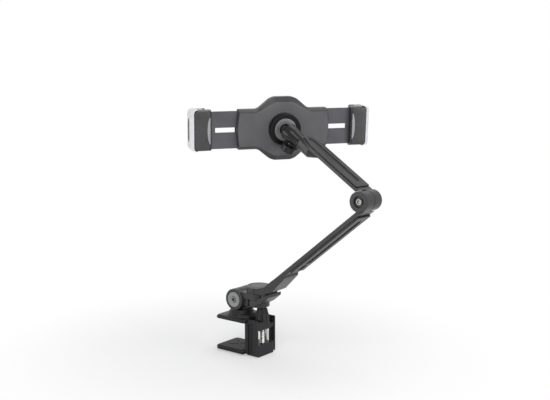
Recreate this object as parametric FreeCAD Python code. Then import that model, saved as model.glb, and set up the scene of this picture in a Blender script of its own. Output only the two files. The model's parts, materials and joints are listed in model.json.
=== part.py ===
import FreeCAD, Part
import math
import os

from FreeCAD import Matrix, Placement, Rotation, Vector

# Clamp-on tablet stand. The desk top lies under the upper jaw, at z = 0, and the pan axis is the Z axis.
# X points away from the desk, Y along the hinge barrels, and Z up. All sizes are in millimetres.

UP = (0, 0, 1)
DOWN = (0, 0, -1)
ALONG_X = (1, 0, 0)
ALONG_Y = (0, 1, 0)
AGAINST_Y = (0, -1, 0)

# Clamp
JAW_REACH = 34.0
JAW_HALF_WIDTH = 27.0
JAW_CORNER = 7.0
JAW_PAD = 1.2
JAW_PAD_MARGIN = 2.5
UPPER_JAW_THICK = 5.0
LOWER_JAW_THICK = 5.0
JAW_RIM_GROOVE = 0.9
JAW_EDGE_SHARE = 0.45
JAW_RIB = 2.0
PAD_GROOVE_HALF = 1.6
OPENING_MAX = 43.3
SPINE_FRONT = 25.0
SPINE_BACK = 50.4
SPINE_HALF_WIDTH = 22.6
SPINE_WALL = 2.6
SPINE_TIE = 4.0
SPINE_BELOW = 48.4
SPINE_RISE = 1.5
SIDE_GROOVE_FRONT = 6.0
SIDE_GROOVE_WIDTH = 10.0
SIDE_GROOVE_DEPTH = 1.0
BOSS_RADIUS = 19.0
BOSS_FOOT_RADIUS = 26.0
BOSS_HEIGHT = 8.2
SHOULDER_HEIGHT = 5.2
SHOULDER_HALF_WIDTH = 18.0
SCREW_X = 42.0
SCREW_RADIUS = 4.0
ROD_Y = 13.0
ROD_RADIUS = 3.0
ROD_DOME_RADIUS = 4.2
ROD_SEAT = -2.4
ROD_FOOT = 1.0
BRIDGE_HEIGHT = 14.5
BRIDGE_TOP = 4.4
BRIDGE_TAPER = 5.0
THRUST_RADIUS = 6.4
THRUST_DEPTH = 3.0
BLOCK_HEIGHT = 17.6
BLOCK_SETBACK = 0.6
GLIDE_THICK = 1.2
NUT_FLATS = 13.0
NUT_HEIGHT = 6.5
KNOB_RADIUS = 12.4
KNOB_TOP_RADIUS = 7.8
KNOB_HEIGHT = 18.5
KNOB_LOBES = 10
KNOB_FLUTE = 1.7
KNOB_SOCKET = 11.1
FLUTE_OVERRUN = 4.0
SLIDE_GAP = 0.2
FIT_GAP = 0.05
SOFT_GAP = 0.3
LAP = 1.0

# Swivel and tilt barrel
BARREL_Z = 34.3
BARREL_RADIUS = 17.0
BARREL_HALF_LENGTH = 20.0
BARREL_EDGE = 1.2
LUG_HALF_WIDTH = 8.5
LUG_RADIUS = 16.8
LUG_CLEAR = 0.5
LUG_STEM = 11.0
WASHER_THICK = 0.6
WASHER_MARGIN = 1.0
SWIVEL_RADIUS = 18.0
SWIVEL_THICK = 1.8
PAN_BOLT_RADIUS = 4.0
TILT_BOLT_RADIUS = 3.0
END_DISC_RADIUS = 12.0
END_DISC_THICK = 1.4
END_DISC_PROUD = 0.4
BOLT_HEAD_RADIUS = 4.6
BOLT_HEAD_HEIGHT = 3.0
BOLT_PROUD = 1.0
HEAD_GAP = 0.4
KEY_SHARE = 0.6
HEX_KEY_FLATS = 5.0
NUT_RECESS = 0.8

# Swing joint between the tongue and the lower arm
SWING_X = 35.5
SWING_RADIUS = 19.5
HUB_RADIUS = 17.0
TONGUE_LOW = 3.6
TONGUE_THICK = 10.0
TONGUE_HALF_WIDTH = 16.5
TONGUE_CHEEK = 14.5
CAP_THICK = 8.4
CAP_DOME = 2.6
CAP_ROUND = 2.1
CAP_RING_DEPTH = 0.8
CAP_RING_OUTER = 14.8
CAP_RING_INNER = 13.7
EAR_THICK = 11.0
HUB_CLEAR = 1.2
FORK_HALF_WIDTH = 17.0
FORK_WEB_HALF_WIDTH = 12.0
SLAB_START = 10.5
SLAB_BEND = 16.8
SLAB_END = 31.0
SLAB_SLOPE = 38.5
SLAB_DROP = 2.4
SLAB_SHOULDER = 3.0
SLAB_LIP = 5.25
FOOT_FLAT = 20.5
FOOT_REACH = 40.0
FOOT_RISE = 8.7
FOOT_BLEND = 24.0
SWING_BOLT_RADIUS = 3.0
SWING_NUT_RADIUS = 5.6

# Arms and elbow
ELBOW_X = 229.6
ELBOW_Z = 207.7
ELBOW_RADIUS = 15.0
ELBOW_HALF_LENGTH = 19.5
LOWER_ANGLE = 38.5
UPPER_ANGLE = 34.7
LOWER_OFFSET = 7.8
LOWER_BEAM_THICK = 7.2
LOWER_COVER_THICK = 2.8
UPPER_OFFSET = 7.0
UPPER_BEAM_THICK = 5.6
UPPER_COVER_THICK = 2.0
ARM_HALF_WIDTH = 17.6
COVER_MARGIN = 0.9
BEAM_ROUND = 2.0
KNUCKLE_CLEAR = 0.8
ELBOW_WASHER = 0.8
ELBOW_BOLT_RADIUS = 3.0
FACE_RECESS_RADIUS = 8.2
FACE_RECESS_DEPTH = 3.2
ELBOW_HEAD_SUNK = 0.7
ELBOW_NUT_RADIUS = 6.1
CHANNEL_HALF_WIDTH = 6.0
CHANNEL_DEPTH = 1.6
CHANNEL_MARGIN = 10.0
POCKET_LENGTH = 17.0
POCKET_HALF_WIDTH = 4.0
POCKET_MARGIN = 4.0
POCKET_GAP = 2.0

# Neck, ball joint and its knob
BALL_REACH = 165.3
SEAM_BACK = 28.6
SEAM_EDGE = 0.5
NECK_SEAM_RADIUS = 10.2
NECK_HEAD_RADIUS = 12.8
NECK_HEAD_LENGTH = 10.0
NECK_RIM_AHEAD = 3.0
NECK_RIM_LENGTH = 2.0
NECK_RIM_DROP = 1.6
ARM_TAPER_LENGTH = 26.0
NOSE_LENGTH = 26.0
NOSE_TIP = 2.0
NOSE_AHEAD = 4.0
SPIGOT_RADIUS = 6.0
SPIGOT_LENGTH = 15.6
SPIGOT_END_GAP = 0.4
BALL_RADIUS = 9.0
BALL_GAP = 0.3
SEAT_THICK = 1.2
SEAT_HALF_ANGLE = 30.0
STUD_RADIUS = 3.4
STUD_RIVET = 3.0
LOCK_BACK = 14.0
LOCK_BOSS_RADIUS = 6.5
LOCK_BOSS_REACH = 15.0
LOCK_KNOB_RADIUS = 12.0
LOCK_KNOB_LENGTH = 10.5
LOCK_KNOB_TAPER = 1.2
LOCK_SCREW_RADIUS = 2.5
LOCK_SCREW_GRIP = 7.35
LOCK_KNOB_LOBES = 8
LOCK_KNOB_FLUTE = 1.6

# Holder, measured from the ball centre: X along its length, Y towards the device, Z up
HOLDER_YAW = 55.7
HOLDER_PITCH = 7.3
HOLDER_ROLL = 1.3
COLLAR_FACE = 13.0
COLLAR_RADIUS = 24.0
COLLAR_BORE = 17.4
COLLAR_SEAT = 2.0
COLLAR_LIP = 1.6
COLLAR_EDGE = 1.0
COLLAR_THROAT = 6.4
FLANGE_RADIUS = 12.0
FLANGE_THICK = 2.4
FLANGE_DEPTH = 5.0
BACK_FACE = 23.0
COVER_DEPTH = 14.5
COVER_CHAMFER = 5.5
COVER_INSET = 9.5
COVER_WALL = 1.6
COVER_HALF_LENGTH = 70.0
COVER_END_BOW = 3.5
COVER_END_HALF = 30.5
COVER_BOSS_RADIUS = 26.5
COVER_BOSS_DEPTH = 6.0
COVER_SLOT_REACH = 12.0
BULGE_FOOT = 39.5
BULGE_TOP = 17.5
BULGE_HALF = 48.5
FOOT_INSET_SHARE = 0.45
PEAK_INSET_SHARE = 0.2
DEVICE_FACE = 40.3
DEVICE_LENGTH = 240.0
DEVICE_THICK = 7.5
GRIP_TRAVEL_IN = 35.0
GRIP_TRAVEL_OUT = 12.0
PLATE_HALF = 28.3
PLATE_THICK = 2.0
GEAR_LAYER = 2.6
PLATE_SLOT_HALF = 3.6
PLATE_SLOT_END = 16.0
PLATE_BEHIND = 0.5
PLATE_IN_GRIP = 1.0
GRIP_BACK_OVERLAP = 11.0
GRIP_WIDTH = 23.0
GRIP_HALF = 31.0
GRIP_BACK = 28.0
GRIP_LIP = 4.0
GRIP_LIP_THICK = 5.0
GRIP_ROUND = 6.0
GRIP_SLACK = 0.8
GRIP_SLIT_HALF_LENGTH = 17.7
GRIP_SLIT_HALF = 3.4
GRIP_SLIT_DEPTH = 4.0
GRIP_SLIT_BACK = 5.0
PAD_THICK = 1.6
GRIP_PAD_MARGIN = 2.0
FRONT_PAD_HALF = 9.0
FRONT_PAD_HALF_HEIGHT = 21.35
FRONT_PAD_AT = 50.4
PINION_TEETH = 12
PINION_MODULE = 1.5
PINION_THICK = 2.2
TOOTH_BACKLASH = 0.9
RACK_BODY = 4.0
RACK_SEAT = 26.4
RACK_SPARE_TEETH = 2
RACK_ROOT_WIDER = 0.35
PINION_ROOT_WIDER = 0.25
TOOTH_TIP_NARROWER = 0.75
TOOTH_SINK = 0.2
AXLE_RADIUS = 2.5
SCREW_HEAD_RADIUS = 2.8
SCREW_HEAD_THICK = 0.9
SMALL_SCREW_RADIUS = 1.5
SMALL_SCREW_LENGTH = 7.0
SCREW_BOSS_RADIUS = 3.5

# Heights worked out from the sizes above
PLATE_TOP = JAW_PAD + UPPER_JAW_THICK
BOSS_TOP = PLATE_TOP + BOSS_HEIGHT
PAN_WASHER_TOP = JAW_PAD + NUT_HEIGHT + 2 * WASHER_THICK
JAW_Z = -OPENING_MAX
CAP_LOW = BARREL_Z + TONGUE_LOW + TONGUE_THICK + WASHER_THICK
EAR_TOP = BARREL_Z + TONGUE_LOW - WASHER_THICK
BRIDGE_LOW = BRIDGE_TOP - BRIDGE_HEIGHT
GAP_HALF = LUG_HALF_WIDTH + WASHER_THICK
SEAM = BALL_REACH - SEAM_BACK
PINION_RADIUS = PINION_TEETH * PINION_MODULE / 2.0
BIG = 400.0


def box(x0, x1, y0, y1, z0, z1):
    return Part.makeBox(x1 - x0, y1 - y0, z1 - z0, Vector(x0, y0, z0))


def rod(radius, start, direction, length):
    return Part.makeCylinder(radius, length, Vector(*start), Vector(*direction))


def cone(r0, r1, start, direction, length):
    return Part.makeCone(r0, r1, length, Vector(*start), Vector(*direction))


def hexagon_corner(flats):
    return flats / math.sqrt(3.0)


def hexagon(flats, start, direction, length):
    """A hexagonal bar, flats across, from start along direction."""
    corner = hexagon_corner(flats)
    turns = [math.radians(60 * i + 30) for i in range(7)]
    bar = Part.Face(Part.makePolygon([Vector(corner * math.cos(t), corner * math.sin(t), 0) for t in turns]))
    bar = bar.extrude(Vector(0, 0, length))
    bar.Placement = Placement(Vector(*start), Rotation(Vector(0, 0, 1), Vector(*direction)))
    return bar


def side_prism(points, y0, y1):
    """A closed outline in the XZ plane, drawn out from y0 to y1."""
    ring = [Vector(x, y0, z) for x, z in points]
    return Part.Face(Part.makePolygon(ring + ring[:1])).extrude(Vector(0, y1 - y0, 0))


def top_prism(points, z0, z1):
    """A closed outline in the XY plane, drawn out from z0 to z1."""
    ring = [Vector(x, y, z0) for x, y in points]
    return Part.Face(Part.makePolygon(ring + ring[:1])).extrude(Vector(0, 0, z1 - z0))


def slot_bar(x0, x1, half, z0, z1):
    """A bar along X with round ends, seen from above."""
    middle = box(x0 + half, x1 - half, -half, half, z0, z1)
    ends = [rod(half, (x, 0, z0), UP, z1 - z0) for x in (x0 + half, x1 - half)]
    return middle.fuse(ends).removeSplitter()


def round_edges(shape, radius, direction, keep=None):
    """Rounds the straight edges along a direction, or those of them whose middle keep() accepts."""
    chosen = []
    for edge in shape.Edges:
        if not isinstance(edge.Curve, (Part.Line, Part.LineSegment)):
            continue
        run = edge.tangentAt(edge.FirstParameter)
        if abs(abs(run.dot(Vector(*direction))) - 1.0) > 1e-6:
            continue
        if keep is None or keep(edge.CenterOfMass):
            chosen.append(edge)
    return shape.makeFillet(radius, chosen) if chosen else shape


def lobed_knob(radius, top_radius, length, lobes, flute, start, direction):
    """A tapered hand knob with scooped flutes, its wide end at start."""
    body = cone(radius, top_radius, (0, 0, 0), UP, length)
    scoops = []
    for i in range(lobes):
        turn = 2 * math.pi * (i + 0.5) / lobes
        x, y = math.cos(turn), math.sin(turn)
        low = (x * radius, y * radius, -LAP)
        lean = (x * (top_radius - radius), y * (top_radius - radius), length)
        scoops.append(rod(flute, low, lean, length + FLUTE_OVERRUN))
    body = body.cut(scoops)
    body.Placement = Placement(Vector(*start), Rotation(Vector(0, 0, 1), Vector(*direction)))
    return body


def frame_of(origin, x_axis, y_axis, z_axis):
    """The placement that carries a local frame to its place in the stand."""
    m = Matrix(x_axis.x, y_axis.x, z_axis.x, origin.x,
               x_axis.y, y_axis.y, z_axis.y, origin.y,
               x_axis.z, y_axis.z, z_axis.z, origin.z,
               0, 0, 0, 1)
    return Placement(m)


def lower_arm_frame():
    """Local X runs from the elbow to the base, Z out of the arm's underside."""
    c, s = math.cos(math.radians(LOWER_ANGLE)), math.sin(math.radians(LOWER_ANGLE))
    return frame_of(Vector(ELBOW_X, 0, ELBOW_Z), Vector(-c, 0, -s), Vector(0, 1, 0), Vector(s, 0, -c))


def upper_arm_frame():
    """Local X runs from the elbow to the ball, Z out of the arm's top, Y towards the near side."""
    c, s = math.cos(math.radians(UPPER_ANGLE)), math.sin(math.radians(UPPER_ANGLE))
    return frame_of(Vector(ELBOW_X, 0, ELBOW_Z), Vector(-c, 0, s), Vector(0, -1, 0), Vector(s, 0, c))


def ball_centre():
    return upper_arm_frame().multVec(Vector(BALL_REACH, 0, 0))


def holder_frame():
    """Local Y points from the ball to the device."""
    turn = Rotation(Vector(0, 0, 1), HOLDER_YAW)
    turn = turn.multiply(Rotation(Vector(1, 0, 0), HOLDER_PITCH))
    turn = turn.multiply(Rotation(Vector(0, 1, 0), -HOLDER_ROLL))
    return Placement(ball_centre(), turn)


def placed(shape, placement):
    moved = shape.copy()
    moved.Placement = placement.multiply(moved.Placement)
    return moved


def socket_bolt(radius, length, head_radius, head_height, start, direction):
    """A hex socket bolt whose head starts at start and whose shank runs on along direction."""
    d = Vector(*direction)
    at = Vector(*start)
    head = Part.makeCylinder(head_radius, head_height, at, d)
    shank = Part.makeCylinder(radius, length, at + d * head_height, d)
    key = hexagon(HEX_KEY_FLATS, start, direction, head_height * KEY_SHARE)
    return head.fuse(shank).cut(key)


def hex_nut(flats, height, bore, start, direction):
    return hexagon(flats, start, direction, height).cut(
        rod(bore, start, direction, height))


def ring(outer, inner, start, direction, length):
    return rod(outer, start, direction, length).cut(rod(inner, start, direction, length))


# Clamp

def clamp_body():
    """The upper jaw with its swivel boss and the two side walls of the spine."""
    tie = SPINE_FRONT + SPINE_TIE
    plate = box(-JAW_REACH, tie, -JAW_HALF_WIDTH, JAW_HALF_WIDTH, JAW_PAD, PLATE_TOP)
    plate = round_edges(plate, JAW_CORNER, UP, lambda p: p.x < 0)
    plate = plate.makeChamfer(UPPER_JAW_THICK * JAW_EDGE_SHARE, [e for e in plate.Edges
                              if e.BoundBox.ZMin > PLATE_TOP - 0.01 and e.BoundBox.XMin < SPINE_FRONT])
    boss = cone(BOSS_FOOT_RADIUS, BOSS_RADIUS, (0, 0, PLATE_TOP - LAP), UP, BOSS_HEIGHT + LAP)
    boss = boss.common(box(-BIG, SPINE_FRONT, -BIG, BIG, -BIG, BIG))
    root, crest = PLATE_TOP - LAP, PLATE_TOP + SHOULDER_HEIGHT
    shoulder = side_prism([(0, root), (tie, root), (tie, PLATE_TOP + SPINE_RISE),
                           (SPINE_FRONT - SPINE_TIE, crest), (0, crest)],
                          -SHOULDER_HALF_WIDTH, SHOULDER_HALF_WIDTH)
    body = plate.fuse([boss, shoulder])
    for side in (-1, 1):
        outer, inner = side * SPINE_HALF_WIDTH, side * (SPINE_HALF_WIDTH - SPINE_WALL)
        wall = box(SPINE_FRONT, SPINE_BACK, min(outer, inner), max(outer, inner),
                   -SPINE_BELOW, PLATE_TOP + SPINE_RISE)
        groove_start = SPINE_FRONT + SIDE_GROOVE_FRONT
        depth = side * (SPINE_HALF_WIDTH - SIDE_GROOVE_DEPTH)
        far = side * (SPINE_HALF_WIDTH + LAP)
        wall = wall.cut(box(groove_start, groove_start + SIDE_GROOVE_WIDTH, min(depth, far), max(depth, far),
                            -SPINE_BELOW - LAP, JAW_PAD))
        body = body.fuse(wall)
    bore = rod(PAN_BOLT_RADIUS + FIT_GAP, (0, 0, 0), UP, BOSS_TOP + LAP)
    nut_room = rod(hexagon_corner(NUT_FLATS) + 2 * SOFT_GAP, (0, 0, 0), UP, PAN_WASHER_TOP)
    return body.cut([bore, nut_room]).removeSplitter()


def upper_jaw_pad():
    edge = JAW_PAD_MARGIN
    half = JAW_HALF_WIDTH - edge
    pad = box(-JAW_REACH + edge, SPINE_FRONT - edge, -half, half, 0, JAW_PAD)
    return round_edges(pad, JAW_CORNER - edge, UP, lambda p: p.x < 0)


def screw_bridge():
    """The housing between the walls that carries the clamp screw and the guide rod."""
    half = SPINE_HALF_WIDTH - SPINE_WALL
    front = SPINE_FRONT + SPINE_TIE
    back = SPINE_BACK - BLOCK_SETBACK
    low_half = half - BRIDGE_TAPER
    step = ROD_Y - ROD_DOME_RADIUS - SOFT_GAP
    shelf = ROD_SEAT - ROD_DOME_RADIUS
    corners = [(-half, BRIDGE_TOP), (step, BRIDGE_TOP), (step, ROD_SEAT), (half, ROD_SEAT), (half, shelf),
               (low_half, BRIDGE_LOW), (-low_half, BRIDGE_LOW), (-half, shelf)]
    outline = [Vector(front, y, z) for y, z in corners]
    housing = Part.Face(Part.makePolygon(outline + outline[:1])).extrude(Vector(back - front, 0, 0))
    screw_bore = rod(SCREW_RADIUS + FIT_GAP, (SCREW_X, 0, BRIDGE_LOW - LAP), UP, BIG)
    thrust_room = rod(THRUST_RADIUS + SOFT_GAP, (SCREW_X, 0, BRIDGE_TOP - THRUST_DEPTH), UP,
                      THRUST_DEPTH + LAP)
    rod_bore = rod(ROD_RADIUS, (SCREW_X, ROD_Y, BRIDGE_LOW - LAP), UP, BIG)
    return housing.cut([screw_bore, thrust_room, rod_bore])


def guide_rod():
    low = JAW_Z - LOWER_JAW_THICK + ROD_FOOT
    return rod(ROD_RADIUS, (SCREW_X, ROD_Y, low), UP, ROD_SEAT - low)


def guide_dome_nut():
    dome = Part.makeSphere(ROD_DOME_RADIUS, Vector(SCREW_X, ROD_Y, ROD_SEAT))
    return dome.common(box(0, BIG, -BIG, BIG, ROD_SEAT, BIG))


def pan_nut():
    low = PAN_WASHER_TOP - WASHER_THICK - NUT_HEIGHT
    return hex_nut(NUT_FLATS, NUT_HEIGHT, PAN_BOLT_RADIUS, (0, 0, low), UP)


def pan_nut_washer():
    base = PAN_WASHER_TOP - WASHER_THICK
    return ring(hexagon_corner(NUT_FLATS), PAN_BOLT_RADIUS + FIT_GAP, (0, 0, base), UP, WASHER_THICK)


def lower_jaw():
    """The lower jaw plate with the block that runs between the spine walls."""
    top = JAW_Z - JAW_PAD
    low = top - LOWER_JAW_THICK
    plate = box(-JAW_REACH, SPINE_FRONT - 2 * SOFT_GAP, -JAW_HALF_WIDTH, JAW_HALF_WIDTH, low, top)
    plate = round_edges(plate, JAW_CORNER, UP, lambda p: p.x < 0)
    third = LOWER_JAW_THICK / 3.0
    inner = box(-JAW_REACH + JAW_RIM_GROOVE, BIG, -JAW_HALF_WIDTH + JAW_RIM_GROOVE,
                JAW_HALF_WIDTH - JAW_RIM_GROOVE, low, top)
    inner = round_edges(inner, JAW_CORNER - JAW_RIM_GROOVE, UP, lambda p: p.x < 0)
    band = box(-BIG, BIG, -BIG, BIG, low + third, low + 1.6 * third).cut(inner)
    plate = plate.cut(band)
    half = SPINE_HALF_WIDTH - SPINE_WALL - GLIDE_THICK - SLIDE_GAP
    front, back = SPINE_FRONT + SPINE_WALL / 2, SPINE_BACK - BLOCK_SETBACK
    block = box(front, back, -half, half, low - JAW_RIB, block_top())
    neck = box(SPINE_FRONT - SPINE_TIE, SPINE_FRONT + SPINE_WALL, -half, half, low, top)
    rib_half = half - JAW_CORNER
    rib = box(-JAW_CORNER, SPINE_FRONT + SPINE_WALL, -rib_half, rib_half, low - JAW_RIB, low)
    body = plate.fuse([block, neck, rib])
    screw_bore = rod(SCREW_RADIUS + SOFT_GAP, (SCREW_X, 0, -BIG), UP, BIG)
    rod_bore = rod(ROD_RADIUS + FIT_GAP, (SCREW_X, ROD_Y, -BIG), UP, BIG)
    nut_room = hexagon(NUT_FLATS, (SCREW_X, 0, block_top() - NUT_HEIGHT), UP, NUT_HEIGHT + LAP)
    return body.cut([screw_bore, rod_bore, nut_room]).removeSplitter()


def block_top():
    """The height of the sliding block's top face."""
    return JAW_Z + BLOCK_HEIGHT - LOWER_JAW_THICK - JAW_RIB


def jaw_nut():
    low = block_top() - NUT_HEIGHT
    return hex_nut(NUT_FLATS, NUT_HEIGHT, SCREW_RADIUS + FIT_GAP, (SCREW_X, 0, low), UP)


def jaw_glides():
    """Plastic strips between the block and the spine walls."""
    outer = SPINE_HALF_WIDTH - SPINE_WALL - SLIDE_GAP
    low = JAW_Z - JAW_PAD - LOWER_JAW_THICK
    strips = []
    for side in (-1, 1):
        y0, y1 = sorted((side * outer, side * (outer - GLIDE_THICK)))
        strips.append(box(SPINE_FRONT + SPINE_WALL, SPINE_BACK - 2 * BLOCK_SETBACK, y0, y1, low, block_top()))
    return Part.makeCompound(strips)


def lower_jaw_pad():
    """A rubber pad with a cross of grooves for grip."""
    edge = JAW_PAD_MARGIN
    pad = box(-JAW_REACH + edge, SPINE_FRONT - 2 * edge, -JAW_HALF_WIDTH + edge, JAW_HALF_WIDTH - edge,
              JAW_Z - JAW_PAD, JAW_Z)
    pad = round_edges(pad, JAW_CORNER - edge, UP, lambda p: p.x < 0)
    middle = (-JAW_REACH + SPINE_FRONT - edge) / 2.0
    bars = []
    for turn in (45, 135):
        bar = box(-JAW_REACH / 2, JAW_REACH / 2, -PAD_GROOVE_HALF, PAD_GROOVE_HALF, JAW_Z - JAW_PAD / 2,
                  JAW_Z + LAP)
        bar.rotate(Vector(0, 0, 0), Vector(0, 0, 1), turn)
        bar.translate(Vector(middle, 0, 0))
        bars.append(bar)
    return pad.cut(bars)


def clamp_screw():
    low = JAW_Z - LOWER_JAW_THICK
    screw = rod(SCREW_RADIUS, (SCREW_X, 0, low), UP, BRIDGE_TOP + KNOB_SOCKET - low)
    flange = rod(THRUST_RADIUS, (SCREW_X, 0, BRIDGE_TOP - THRUST_DEPTH), UP, THRUST_DEPTH - SOFT_GAP)
    return screw.fuse(flange)


def clamp_knob():
    base = BRIDGE_TOP + 2 * SOFT_GAP
    knob = lobed_knob(KNOB_RADIUS, KNOB_TOP_RADIUS, KNOB_HEIGHT, KNOB_LOBES, KNOB_FLUTE,
                      (SCREW_X, 0, base), UP)
    socket = rod(SCREW_RADIUS, (SCREW_X, 0, base - LAP), UP, BRIDGE_TOP + KNOB_SOCKET - base + LAP)
    return knob.cut(socket)


# Swivel and tilt barrel

def swivel_base():
    """The turning disc, with the lug that the barrel hinges on and the pan bolt below it."""
    base = BOSS_TOP + WASHER_THICK
    disc = rod(SWIVEL_RADIUS, (0, 0, base), UP, SWIVEL_THICK)
    stem = box(-LUG_STEM, LUG_STEM, -LUG_HALF_WIDTH, LUG_HALF_WIDTH, base, BARREL_Z)
    lug = rod(LUG_RADIUS, (0, -LUG_HALF_WIDTH, BARREL_Z), ALONG_Y, 2 * LUG_HALF_WIDTH)
    low = PAN_WASHER_TOP - WASHER_THICK - NUT_HEIGHT
    bolt = rod(PAN_BOLT_RADIUS, (0, 0, low), UP, base - low + LAP)
    bore = rod(TILT_BOLT_RADIUS + FIT_GAP, (0, -BIG / 2, BARREL_Z), ALONG_Y, BIG)
    return disc.fuse([stem, lug, bolt]).cut(bore).removeSplitter()


def pan_washer():
    return ring(SWIVEL_RADIUS - WASHER_MARGIN, PAN_BOLT_RADIUS + FIT_GAP, (0, 0, BOSS_TOP), UP, WASHER_THICK)


def tilt_washers():
    washers = []
    for start in (-GAP_HALF, LUG_HALF_WIDTH):
        washers.append(ring(LUG_RADIUS - WASHER_MARGIN, TILT_BOLT_RADIUS + FIT_GAP,
                            (0, start, BARREL_Z), ALONG_Y, WASHER_THICK))
    return Part.makeCompound(washers)


def tilt_barrel():
    """The hinge barrel, its tongue for the swing joint and the cheeks that blend one into the other."""
    full = rod(BARREL_RADIUS, (0, -BARREL_HALF_LENGTH, BARREL_Z), ALONG_Y, 2 * BARREL_HALF_LENGTH)
    full = full.makeFillet(BARREL_EDGE, [e for e in full.Edges if isinstance(e.Curve, Part.Circle)])
    lug_room = rod(LUG_RADIUS + LUG_CLEAR, (0, -GAP_HALF, BARREL_Z), ALONG_Y, 2 * GAP_HALF)
    low, top = BARREL_Z + TONGUE_LOW, BARREL_Z + TONGUE_LOW + TONGUE_THICK
    tongue = box(0, SWING_X, -TONGUE_HALF_WIDTH, TONGUE_HALF_WIDTH, low, top)
    hub = rod(HUB_RADIUS, (SWING_X, 0, low), UP, TONGUE_THICK)
    ear_room = rod(HUB_RADIUS + HUB_CLEAR, (SWING_X, 0, 0), UP, low)
    cheeks = []
    for side in (-1, 1):
        y0, y1 = sorted((side * GAP_HALF, side * TONGUE_CHEEK))
        cheeks.append(box(0, SWING_X, y0, y1, EAR_TOP - EAR_THICK, low).cut(ear_room))
    body = full.cut(lug_room).fuse([tongue, hub] + cheeks)
    bore = rod(TILT_BOLT_RADIUS, (0, -BIG / 2, BARREL_Z), ALONG_Y, BIG)
    swing = rod(SWING_BOLT_RADIUS + FIT_GAP, (SWING_X, 0, 0), UP, BIG)
    cuts = [lug_room, bore, swing]
    for side in (-1, 1):
        face = side * BARREL_HALF_LENGTH
        inner = face - side * END_DISC_THICK
        y0, y1 = sorted((face + side * LAP, inner))
        cuts.append(rod(END_DISC_RADIUS + FIT_GAP, (0, y0, BARREL_Z), ALONG_Y, y1 - y0))
        deep = inner - side * BOLT_HEAD_HEIGHT
        y0, y1 = sorted((inner, deep))
        cuts.append(rod(BOLT_HEAD_RADIUS + 2 * HEAD_GAP, (0, y0, BARREL_Z), ALONG_Y, y1 - y0))
    body = body.cut(cuts).removeSplitter()
    return max(body.Solids, key=lambda s: s.Volume)


def tilt_end_discs():
    """The bright discs that close the barrel's two ends, each with a hole for the bolt."""
    discs = []
    for side in (-1, 1):
        inner = side * (BARREL_HALF_LENGTH - END_DISC_THICK)
        outer = side * (BARREL_HALF_LENGTH + END_DISC_PROUD)
        y0, y1 = sorted((inner, outer))
        discs.append(ring(END_DISC_RADIUS, BOLT_HEAD_RADIUS + HEAD_GAP, (0, y0, BARREL_Z), ALONG_Y, y1 - y0))
    return Part.makeCompound(discs)


def tilt_bolt():
    start = -BARREL_HALF_LENGTH - BOLT_PROUD
    shank = BARREL_HALF_LENGTH - END_DISC_THICK - BOLT_HEAD_HEIGHT
    head = -shank - start
    return socket_bolt(TILT_BOLT_RADIUS, 2 * shank + BOLT_HEAD_HEIGHT, BOLT_HEAD_RADIUS, head,
                       (0, start, BARREL_Z), ALONG_Y)


def tilt_nut():
    shank = BARREL_HALF_LENGTH - END_DISC_THICK - BOLT_HEAD_HEIGHT
    return ring(BOLT_HEAD_RADIUS, TILT_BOLT_RADIUS, (0, shank, BARREL_Z), ALONG_Y, BOLT_HEAD_HEIGHT)


# Lower arm

def arm_beam(length, offset, thick, own_side):
    """A flat beam beside the elbow axis, cut back on the other arm's side of the barrel."""
    beam = box(0, length, -ARM_HALF_WIDTH, ARM_HALF_WIDTH, offset, offset + thick)
    beam = round_edges(beam, BEAM_ROUND, ALONG_X, lambda p: p.z < offset + thick / 2)
    knuckle = rod(ELBOW_RADIUS, (0, 0, 0), (0, own_side, 0), ELBOW_HALF_LENGTH)
    root = box(0, ELBOW_RADIUS, *sorted((0, own_side * ARM_HALF_WIDTH)), 0, offset + LAP)
    root = root.common(rod(ELBOW_RADIUS, (0, -BIG / 2, 0), ALONG_Y, BIG))
    other = rod(ELBOW_RADIUS + KNUCKLE_CLEAR, (0, 0, 0), (0, -own_side, 0), BIG)
    other = other.fuse(box(-BIG, 0, *sorted((0, -own_side * BIG)), -BIG, BIG))
    return beam.cut(other).fuse([knuckle, root])


def lower_line(depth, z):
    """Where the lower arm's line, that deep under the elbow's centre, crosses a height."""
    c, s = math.cos(math.radians(LOWER_ANGLE)), math.sin(math.radians(LOWER_ANGLE))
    return ELBOW_X + depth * s - (ELBOW_Z - depth * c - z) * c / s


def lower_line_height(depth, x):
    """How high the lower arm's line, that deep under the elbow's centre, is over x."""
    c, s = math.cos(math.radians(LOWER_ANGLE)), math.sin(math.radians(LOWER_ANGLE))
    return ELBOW_Z - depth * c - (ELBOW_X + depth * s - x) * s / c


def lower_cover_end():
    """How far from the elbow, along the lower arm, its underside cover ends."""
    return (ELBOW_X - SWING_X - FOOT_REACH - FOOT_BLEND) / math.cos(math.radians(LOWER_ANGLE))


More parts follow.
